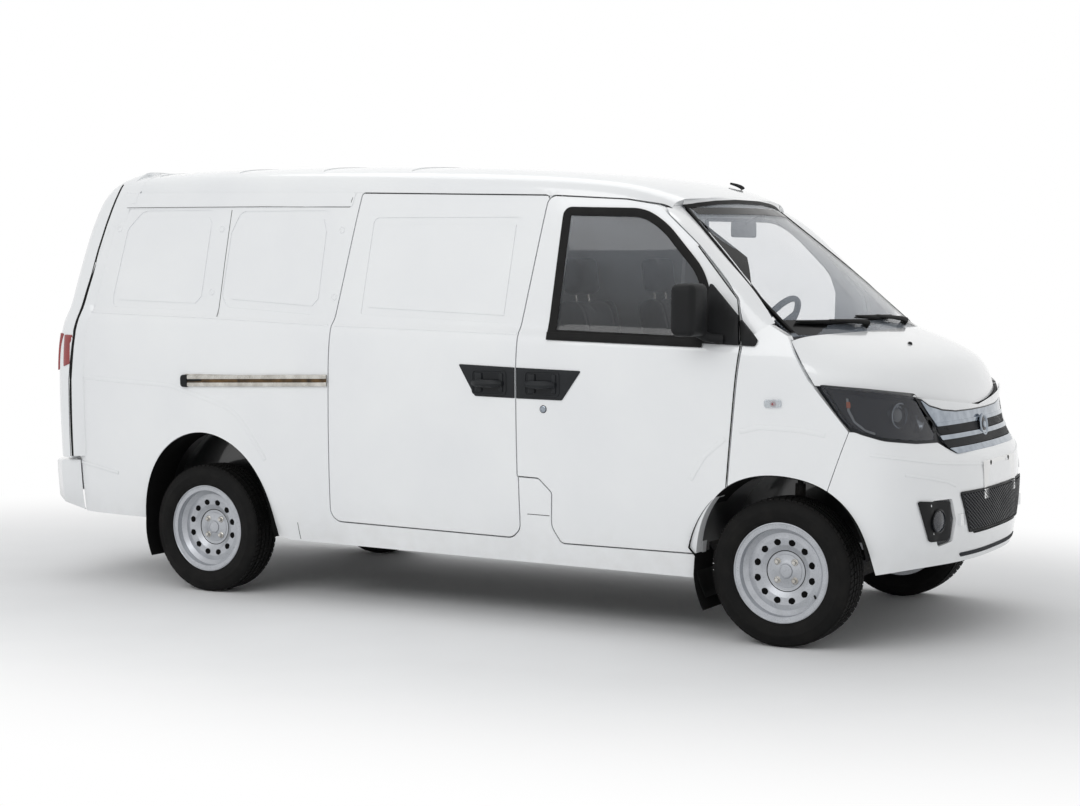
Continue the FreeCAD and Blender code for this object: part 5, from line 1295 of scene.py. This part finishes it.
# The bumper's skin goes round in plan and up in rungs of (extra inset, share of the height)
def rearBumperShape():
    plan = rearEnd["plan"] + [(x, -y, low) for x, y, low in reversed(rearEnd["plan"][:-1])]
    heights, insets = zip(*rearEnd["inset"])
    rails = []
    for k, (x, y, low) in enumerate(plan):
        before, after = plan[max(k - 1, 0)], plan[min(k + 1, len(plan) - 1)]
        along = Vector((after[0] - before[0], after[1] - before[1])).normalized()
        inward = Vector((-along.y, along.x))
        if inward.dot(Vector((rearAxle - x, -y))) < 0:
            inward = -inward
        rail = []
        for extra, share in rearEnd["rungs"]:
            z = low + (rearEnd["bumperTop"] - low) * share
            depth = numpy.interp(z, heights, insets) + extra
            spot = Vector((x + inward.x * depth, y + inward.y * depth, z))
            hit = spotOn(bodySkin["flank"], "right", x + 0.010, z) if k in (0, len(plan) - 1) else None
            if hit:
                spot.y = math.copysign(-hit.y + 0.0030 - extra * 0.3, y)
            rail.append(spot)
        rails.append(rail)
    shape = gridShape(rails)
    if sum(face.normal.x for face in shape.faces) > 0:
        bmesh.ops.reverse_faces(shape, faces=shape.faces[:])
    bmesh.ops.solidify(shape, geom=shape.faces[:], thickness=rearEnd["bumperThickness"])
    bmesh.ops.recalc_face_normals(shape, faces=shape.faces[:])
    return shape


def addRearEnd():
    addTailgateEdge()
    finishPiece("rear_bumper_skin", rearBumperShape(), "whitePaint", stands=["rear_bumper"], sharpAngle=50)
    wrap = plateOn(rearEnd["lamp"], 0.02, "right", skinOf("tailgate", "tail_lamps"), 0.0006, 0.003, 0.001)
    finishPair("tail_lamp_wrap", wrap, "redLens", "tailgate_door")
    crease = bandOn(rearEnd["crease"], 0.016, 0.04, "right", bodySkin["flank"], 0.0001, 0.004, 0.0035)
    finishPair("flank_lower_step", crease, "whitePaint")
    edge = bandOn(rearEnd["doorEdge"], 0.0055, 0.04, "right", bodySkin["door"], 0.0004, 0.0007)
    finishPair("door_edge_seal", edge, "seal", "door_{}")


addRearEnd()

# Near-black liners inside the wheel arches, partly the arches' black coating and partly painted shade: along
# the edge that rays from the axle meet, from one angle to another
arches = {
    "front": {"station": frontAxle, "from": -28, "to": 208,
              "edge": ["body_side_right", "front_wings", "front_bumper"]},
    "rear": {"station": rearAxle, "from": -20, "to": 205, "edge": ["body_side_right"]},
    "steps": 60, "gap": 0.0025, "thickness": 0.0016, "reach": (0.34, 0.60),
    "edgePlaces": (-0.800, -0.790, -0.780), "linerPlaces": (-0.830, -0.755, -0.70, -0.640),
}


def addArches():
    for key in ("front", "rear"):
        arch = arches[key]
        skin = skinOf(*arch["edge"])
        rails = []
        for k in range(arches["steps"] + 1):
            angle = math.radians(arch["from"] + (arch["to"] - arch["from"]) * k / arches["steps"])
            way = Vector((math.cos(angle), 0, math.sin(angle)))
            reach = []
            for y in arches["edgePlaces"]:
                hub = Vector((arch["station"], y, wheelHeight))
                spot = skin.ray_cast(hub, way)[0]
                if spot:
                    reach.append((spot - hub).length)
            if reach and arches["reach"][0] < min(reach) < arches["reach"][1]:
                radius = min(reach) - arches["gap"]
            elif not rails:
                continue
            rails.append([Vector((arch["station"], y, wheelHeight)) + way * radius
                          for y in arches["linerPlaces"]])
        liner = gridShape(rails)
        bmesh.ops.solidify(liner, geom=liner.faces[:], thickness=arches["thickness"])
        bmesh.ops.recalc_face_normals(liner, faces=liner.faces[:])
        finishPair(f"arch_liner_{key}", liner, "archLiner")


addArches()

# Roof and bonnet fittings, tailgate handle and lamps
fittings = {
    "aerial": (front(-0.690), 0.297), "nozzle": (front(0.347), -0.227),
    "handle": oblong((-0.17, 0.915), (0.17, 0.952), 0.012),
    "recess": oblong((-0.27, 0.745), (0.27, 0.900), 0.02),
    "lamps": [oblong((side - 0.025, 0.902), (side + 0.025, 0.912), 0.004) for side in (-0.09, 0.09)],
}


def addFittings():
    x, y, z = spotOn(bodySkin["roof"], "top", *fittings["aerial"])
    stub = rodShape([(x + 0.035, y, z - 0.004), (x + 0.028, y, z + 0.010), (x - 0.030, y, z + 0.024)],
                    [0.010, 0.009, 0.005], True)
    finishPiece("roof_aerial", stub, "blackPlastic")
    nozzle = lathe([(0.0, 0.0), (0.011, 0.0), (0.010, 0.004), (0.006, 0.009), (0.0, 0.010)], 20)
    nozzle = placed(nozzle, spotOn(bodySkin["bonnet"], "top", *fittings["nozzle"]), (0.3, 0, 1))
    finishPiece("washer_nozzle", nozzle, "blackPlastic", "bonnet_lid")
    tailgate = bodySkin["tailgate"]
    grip = plateOn(fittings["handle"], 0.04, "rear", tailgate, 0.0006, 0.014, 0.005)
    finishPiece("tailgate_handle", grip, "whitePaint", "tailgate_door")
    recess = flatBand(roundedOutline(fittings["recess"]), 0.0035, closed=True)
    recess = layOn(recess, "rear", tailgate, 0.0004, 0.002, 0.0008)
    finishPiece("plate_recess_edge", recess, "whitePaint", "tailgate_door")
    lamps = [plateOn(lamp, 0.02, "rear", tailgate, 0.0006, 0.007, 0.002) for lamp in fittings["lamps"]]
    finishPiece("plate_lamps", joined(lamps), "clearLens", "tailgate_door")


addFittings()
print("stage: trim done")

# Cab: padded seats, steering wheel, instrument hood, inside mirror, gear lever
seatSizes = {
    "side": 0.40, "seamSide": 0.13,
    "plinth": (0.42, 0.40, 0.225), "plinthPlace": (front(-0.790), -0.40, 0.7135),
    "runner": (0.46, 0.030, 0.030), "runnerPlace": (front(-0.785), 0.17, 0.617),
    "post": [(front(-1.135), 0.06, 1.40), (front(-1.150), 0.06, 1.50)], "postRadius": 0.006,
    "voxel": 0.009, "pressure": 4.0, "frames": 20, "cap": 0.014,
}


# Size, place, lean in degrees, rounding, crown and fill of each pad
pads = {
    "seat_cushion": ((0.50, 0.46, 0.105), (front(-0.778), -0.40, 0.888), -4.5, 0.035, 0.012, 0.7),
    "seat_back": ((0.100, 0.44, 0.53), (front(-1.073), -0.40, 1.165), -14.0, 0.035, 0.016, 0.7),
    "head_restraint": ((0.085, 0.24, 0.165), (front(-1.150), -0.40, 1.527), -8.0, 0.030, 0.004, 0.8),
}


# Swells a pad by a cloth simulation on a voxel copy, with each point's way capped
def swollen(shape, name):
    mesh = bpy.data.meshes.new(name)
    shape.to_mesh(mesh)
    shape.free()
    piece = bpy.data.objects.new(name, mesh)
    bpy.context.scene.collection.objects.link(piece)
    remesh = piece.modifiers.new("remesh", "REMESH")
    remesh.mode = "VOXEL"
    remesh.voxel_size = seatSizes["voxel"]
    graph = bpy.context.evaluated_depsgraph_get()
    base = bpy.data.meshes.new_from_object(piece.evaluated_get(graph))
    piece.modifiers.clear()
    piece.data = base
    before = [vert.co.copy() for vert in base.vertices]
    cloth = piece.modifiers.new("cloth", "CLOTH")
    cloth.settings.use_pressure = True
    cloth.settings.uniform_pressure_force = seatSizes["pressure"]
    cloth.settings.effector_weights.gravity = 0
    cloth.settings.quality = 4
    cloth.point_cache.frame_end = seatSizes["frames"]
    for number in range(1, seatSizes["frames"] + 1):
        bpy.context.scene.frame_set(number)
    graph = bpy.context.evaluated_depsgraph_get()
    swelled = bpy.data.meshes.new_from_object(piece.evaluated_get(graph))
    for vert, start, now in zip(base.vertices, before, swelled.vertices):
        way = now.co - start
        vert.co = start + (way.normalized() * min(way.length, seatSizes["cap"]) if way.length else way)
    bpy.context.scene.frame_set(1)
    result = bmesh.new()
    result.from_mesh(base)
    bpy.data.objects.remove(piece)
    bmesh.ops.smooth_vert(result, verts=result.verts, factor=0.5, use_axis_x=True, use_axis_y=True,
                          use_axis_z=True)
    return result


# Draws the sewn channels of a pad in by a few millimetres along given side places and heights
def sewn(shape, axis, places, depth=0.006, width=0.012):
    for vert in shape.verts:
        for place in places:
            away = abs(vert.co[axis] - place)
            if away < width:
                vert.co -= vert.normal * depth * (0.5 + 0.5 * math.cos(math.pi * away / width))
    return shape


def padShape(size, place, lean, rounding, crown):
    shape = roundedBlock(size, (0, 0, 0), rounding, 4)
    bmesh.ops.subdivide_edges(shape, edges=[edge for edge in shape.edges if edge.calc_length() > 0.1], cuts=6,
                              use_grid_fill=True)
    for vert in shape.verts:
        across = vert.co.y / size[1] * 2
        if size[2] < size[0]:
            vert.co.z += crown * across ** 2
        else:
            vert.co.x += crown * across ** 2
    turn = Matrix.Rotation(math.radians(lean), 4, "Y")
    bmesh.ops.transform(shape, matrix=Matrix.Translation(place) @ turn, verts=shape.verts)
    return shape


def addSeats():
    side, seam = seatSizes["side"], seatSizes["seamSide"]
    for name, (size, place, lean, rounding, crown, fill) in pads.items():
        shape = swollen(padShape(size, place, lean, rounding, crown), name)
        shape.normal_update()
        if name != "head_restraint":
            shape = sewn(shape, 1, (-side - seam, -side + seam))
        other = mirrored(shape)
        for label, form in (("right", shape), ("left", other)):
            stands = ["front_seats"] if (name, label) == ("seat_cushion", "right") else []
            piece = finishPiece(f"{name}_{label}", form, "seatCloth", "van_body", "cloth", stands, 80)
            smooth = piece.modifiers.new("smooth", "SUBSURF")
            smooth.levels = smooth.render_levels = 1
    frame = [roundedBlock(seatSizes["plinth"], seatSizes["plinthPlace"], 0.012, 2)]
    posts = []
    x, away, z = seatSizes["runnerPlace"]
    for sign in (-1, 1):
        frame.append(roundedBlock(seatSizes["runner"], (x, sign * away - side, z), 0.004, 2))
        ends = [(postX, sign * postSide - side, postZ) for postX, postSide, postZ in seatSizes["post"]]
        posts.append(rodShape(ends, [seatSizes["postRadius"]] * 2))
    finishPair("seat_plinth", joined(frame), "darkTrim")
    finishPair("head_posts", joined(posts), "brightSteel")


addSeats()

# Steering wheel: a thick rim, a hub and three spokes of (distance, along) points
handWheel = {"place": (front(-0.540), 0.380, 1.265), "lean": 35, "radius": 0.185, "rim": 0.0140,
             "spoke": [(0.04, -0.012), (0.12, -0.006), (0.184, 0)], "spokeRadii": [0.022, 0.014, 0.011],
             "spokeAngles": (0, 180, -90)}


def addSteeringWheel():
    lean = math.radians(handWheel["lean"])
    toDriver = Vector((-math.cos(lean), 0, math.sin(lean)))
    rim = lathe([(handWheel["radius"] + handWheel["rim"] * math.cos(math.tau * k / 14),
                  handWheel["rim"] * 1.15 * math.sin(math.tau * k / 14)) for k in range(14)], 72, closed=True)
    hub = lathe([(0.0, -0.034), (0.045, -0.034), (0.066, -0.020), (0.070, -0.004), (0.058, 0.010),
                 (0.030, 0.016), (0.0, 0.017)], 40)
    spokes = []
    for angle in handWheel["spokeAngles"]:
        across, up = math.cos(math.radians(angle)), math.sin(math.radians(angle))
        points = [(away * across, along, away * up) for away, along in handWheel["spoke"]]
        spokes.append(rodShape(points, handWheel["spokeRadii"], True, 3))
    shape = joined([rim, hub] + spokes)
    finishPiece("hand_wheel_rim", placed(shape, handWheel["place"], toDriver), "darkTrim", "hand_wheel",
                stands=["steering_wheel"])


addSteeringWheel()

# Dashboard: instrument hood, shelf, air vents and radio, then the gear lever and the inside mirror
cab = {
    "blocks": [((0.20, 0.36, 0.075), (front(-0.150), 0.380, 1.246), 0.030, 5),
               ((0.26, 1.34, 0.030), (front(-0.105), 0.0, 1.246), 0.013, 4),
               ((0.030, 0.200, 0.110), (front(-0.240), 0, 1.055), 0.006, 2)],
    "vent": (0.030, 0.110, 0.070), "ventSides": (-0.58, -0.10, 0.10, 0.62),
    "ventPlace": (front(-0.236), 1.150),
    "lever": [(front(-0.330), 0, 0.890), (front(-0.345), 0, 1.000), (front(-0.360), 0, 1.060)],
    "leverRadii": [0.011, 0.008, 0.007], "knobPlace": (front(-0.362), 0, 1.075),
    "mirrorPlace": (front(-0.520), 0.0, 1.735), "mirrorSize": (0.022, 0.250, 0.072),
    "paneSize": (0.002, 0.215, 0.052),
}


def addCab():
    blocks = [roundedBlock(size, place, rounding, steps) for size, place, rounding, steps in cab["blocks"]]
    x, z = cab["ventPlace"]
    blocks.extend(roundedBlock(cab["vent"], (x, y, z), 0.012, 3) for y in cab["ventSides"])
    knob = lathe([(0.0, -0.022), (0.014, -0.018), (0.021, 0.0), (0.017, 0.018), (0.0, 0.024)], 20)
    lever = [rodShape(cab["lever"], cab["leverRadii"], True), placed(knob, cab["knobPlace"], (0, 0, 1))]
    finishPiece("dash_fittings", joined(blocks + lever), "darkTrim")
    x, y, z = cab["mirrorPlace"]
    back = roundedBlock(cab["mirrorSize"], (x, y, z), 0.009, 4)
    foot = onScreen(0, z + 0.060, -0.010)
    stem = rodShape([(x + 0.006, y, z + 0.015), (x + 0.030, y, z + 0.050), foot], [0.007, 0.006, 0.012], True)
    finishPiece("inside_mirror", joined([back, stem]), "darkTrim")
    pane = roundedBlock(cab["paneSize"], (x - 0.0118, y, z), 0.0009, 1)
    finishPiece("inside_mirror_glass", pane, "mirrorGlass")


addCab()
print("stage: cab done")

# Floor, light and camera. Looking rays meet white far out, so floor and background are one.
studio = {
    "floorColour": "#F4F5F6", "worldStrength": 0.62, "whiteFrom": 1.75, "whiteTo": 3.6, "lengthScale": 0.60,
    "cameraPlace": (4.788, -8.255, 1.566), "cameraYaw": 29.641, "cameraPitch": 3.933, "cameraRoll": -0.243,
    "focalPixels": 1966.85, "imagePixels": 1080, "sensorMm": 36,
    "clipEnd": 200, "floorHalf": 60,
}

# Soft lights: place, target, size in metres and power in watts
lights = {
    "overhead_softbox": ((-0.8, 1.4, 6.0), (0, 0, 0.4), (6.0, 3.0), 60),
    "side_softbox": ((0.0, -8.0, 6.0), (0, 0, 0.9), (8.0, 3.5), 185),
}


# One where a ray comes from the camera, a mirror reflection or through glass
def seenDirectly(tree):
    path = addNode(tree, "ShaderNodeLightPath")
    first = addNode(tree, "ShaderNodeMath", {"operation": "MAXIMUM"},
                    {0: (path, "Is Camera Ray"), 1: (path, "Is Glossy Ray")})
    return addNode(tree, "ShaderNodeMath", {"operation": "MAXIMUM"},
                   {0: (first, 0), 1: (path, "Is Transmission Ray")})


def addFloor():
    mesh = bpy.data.meshes.new("studio_floor")
    shape = bmesh.new()
    bmesh.ops.create_grid(shape, x_segments=1, y_segments=1, size=studio["floorHalf"])
    shape.to_mesh(mesh)
    shape.free()
    floor = bpy.data.objects.new("studio_floor", mesh)
    bpy.context.scene.collection.objects.link(floor)
    material, tree, shader, _, _, _ = twoTone("pale_studio_floor", studio["floorColour"], "#F1F2F3", 1.5, 3.0)
    setNode(shader, {"Roughness": 0.8})
    squeezed = position(tree, (studio["lengthScale"], 1, 1))
    far = addNode(tree, "ShaderNodeVectorMath", {"operation": "LENGTH"}, {0: (squeezed, "Vector")})
    spread = {"From Min": studio["whiteFrom"], "From Max": studio["whiteTo"],
              "interpolation_type": "SMOOTHSTEP"}
    share = addNode(tree, "ShaderNodeMapRange", spread, {"Value": (far, "Value")})
    looking = addNode(tree, "ShaderNodeMath", {"operation": "MULTIPLY"},
                      {0: (share, "Result"), 1: (seenDirectly(tree), 0)})
    white = addNode(tree, "ShaderNodeEmission", {"Color": (1, 1, 1, 1), "Strength": 1.0})
    blend = addNode(tree, "ShaderNodeMixShader", None, {0: (looking, 0), 1: (shader, 0), 2: (white, 0)})
    setNode(tree.nodes["Material Output"], links={"Surface": (blend, 0)})
    mesh.materials.append(material)


def addWorld():
    world = bpy.data.worlds.new("studio")
    bpy.context.scene.world = world
    world.use_nodes = True
    tree = world.node_tree
    light = setNode(tree.nodes["Background"], {"Color": (1, 1, 1, 1), "Strength": studio["worldStrength"]})
    white = addNode(tree, "ShaderNodeBackground", {"Color": (1, 1, 1, 1), "Strength": 1.0})
    blend = addNode(tree, "ShaderNodeMixShader", None,
                    {0: (seenDirectly(tree), 0), 1: (light, 0), 2: (white, 0)})
    setNode(tree.nodes["World Output"], links={"Surface": (blend, 0)})


def addLights():
    for name, (place, target, size, power) in lights.items():
        light = bpy.data.lights.new(name, "AREA")
        light.shape = "RECTANGLE"
        light.size, light.size_y = size
        light.energy = power
        lamp = bpy.data.objects.new(name, light)
        lamp.location = place
        lamp.rotation_euler = (Vector(target) - Vector(place)).to_track_quat("-Z", "Y").to_euler()
        bpy.context.scene.collection.objects.link(lamp)


def addCamera():
    camera = bpy.data.cameras.new("photo_camera")
    camera.sensor_width = studio["sensorMm"]
    camera.lens = studio["focalPixels"] * studio["sensorMm"] / studio["imagePixels"]
    camera.clip_end = studio["clipEnd"]
    holder = bpy.data.objects.new("photo_camera", camera)
    yaw, pitch, roll = (math.radians(studio[key]) for key in ("cameraYaw", "cameraPitch", "cameraRoll"))
    ahead = Vector((-math.sin(yaw) * math.cos(pitch), math.cos(yaw) * math.cos(pitch), -math.sin(pitch)))
    right = Vector((math.cos(yaw), math.sin(yaw), 0))
    up = right.cross(ahead)
    rolledRight = right * math.cos(roll) + up * math.sin(roll)
    rolledUp = up * math.cos(roll) - right * math.sin(roll)
    turn = Matrix((rolledRight, rolledUp, -ahead)).transposed()
    holder.matrix_world = Matrix.Translation(studio["cameraPlace"]) @ turn.to_4x4()
    bpy.context.scene.collection.objects.link(holder)
    bpy.context.scene.camera = holder


addFloor()
addWorld()
addLights()
addCamera()
bpy.context.scene.view_settings.view_transform = "Standard"
print("stage: studio done")
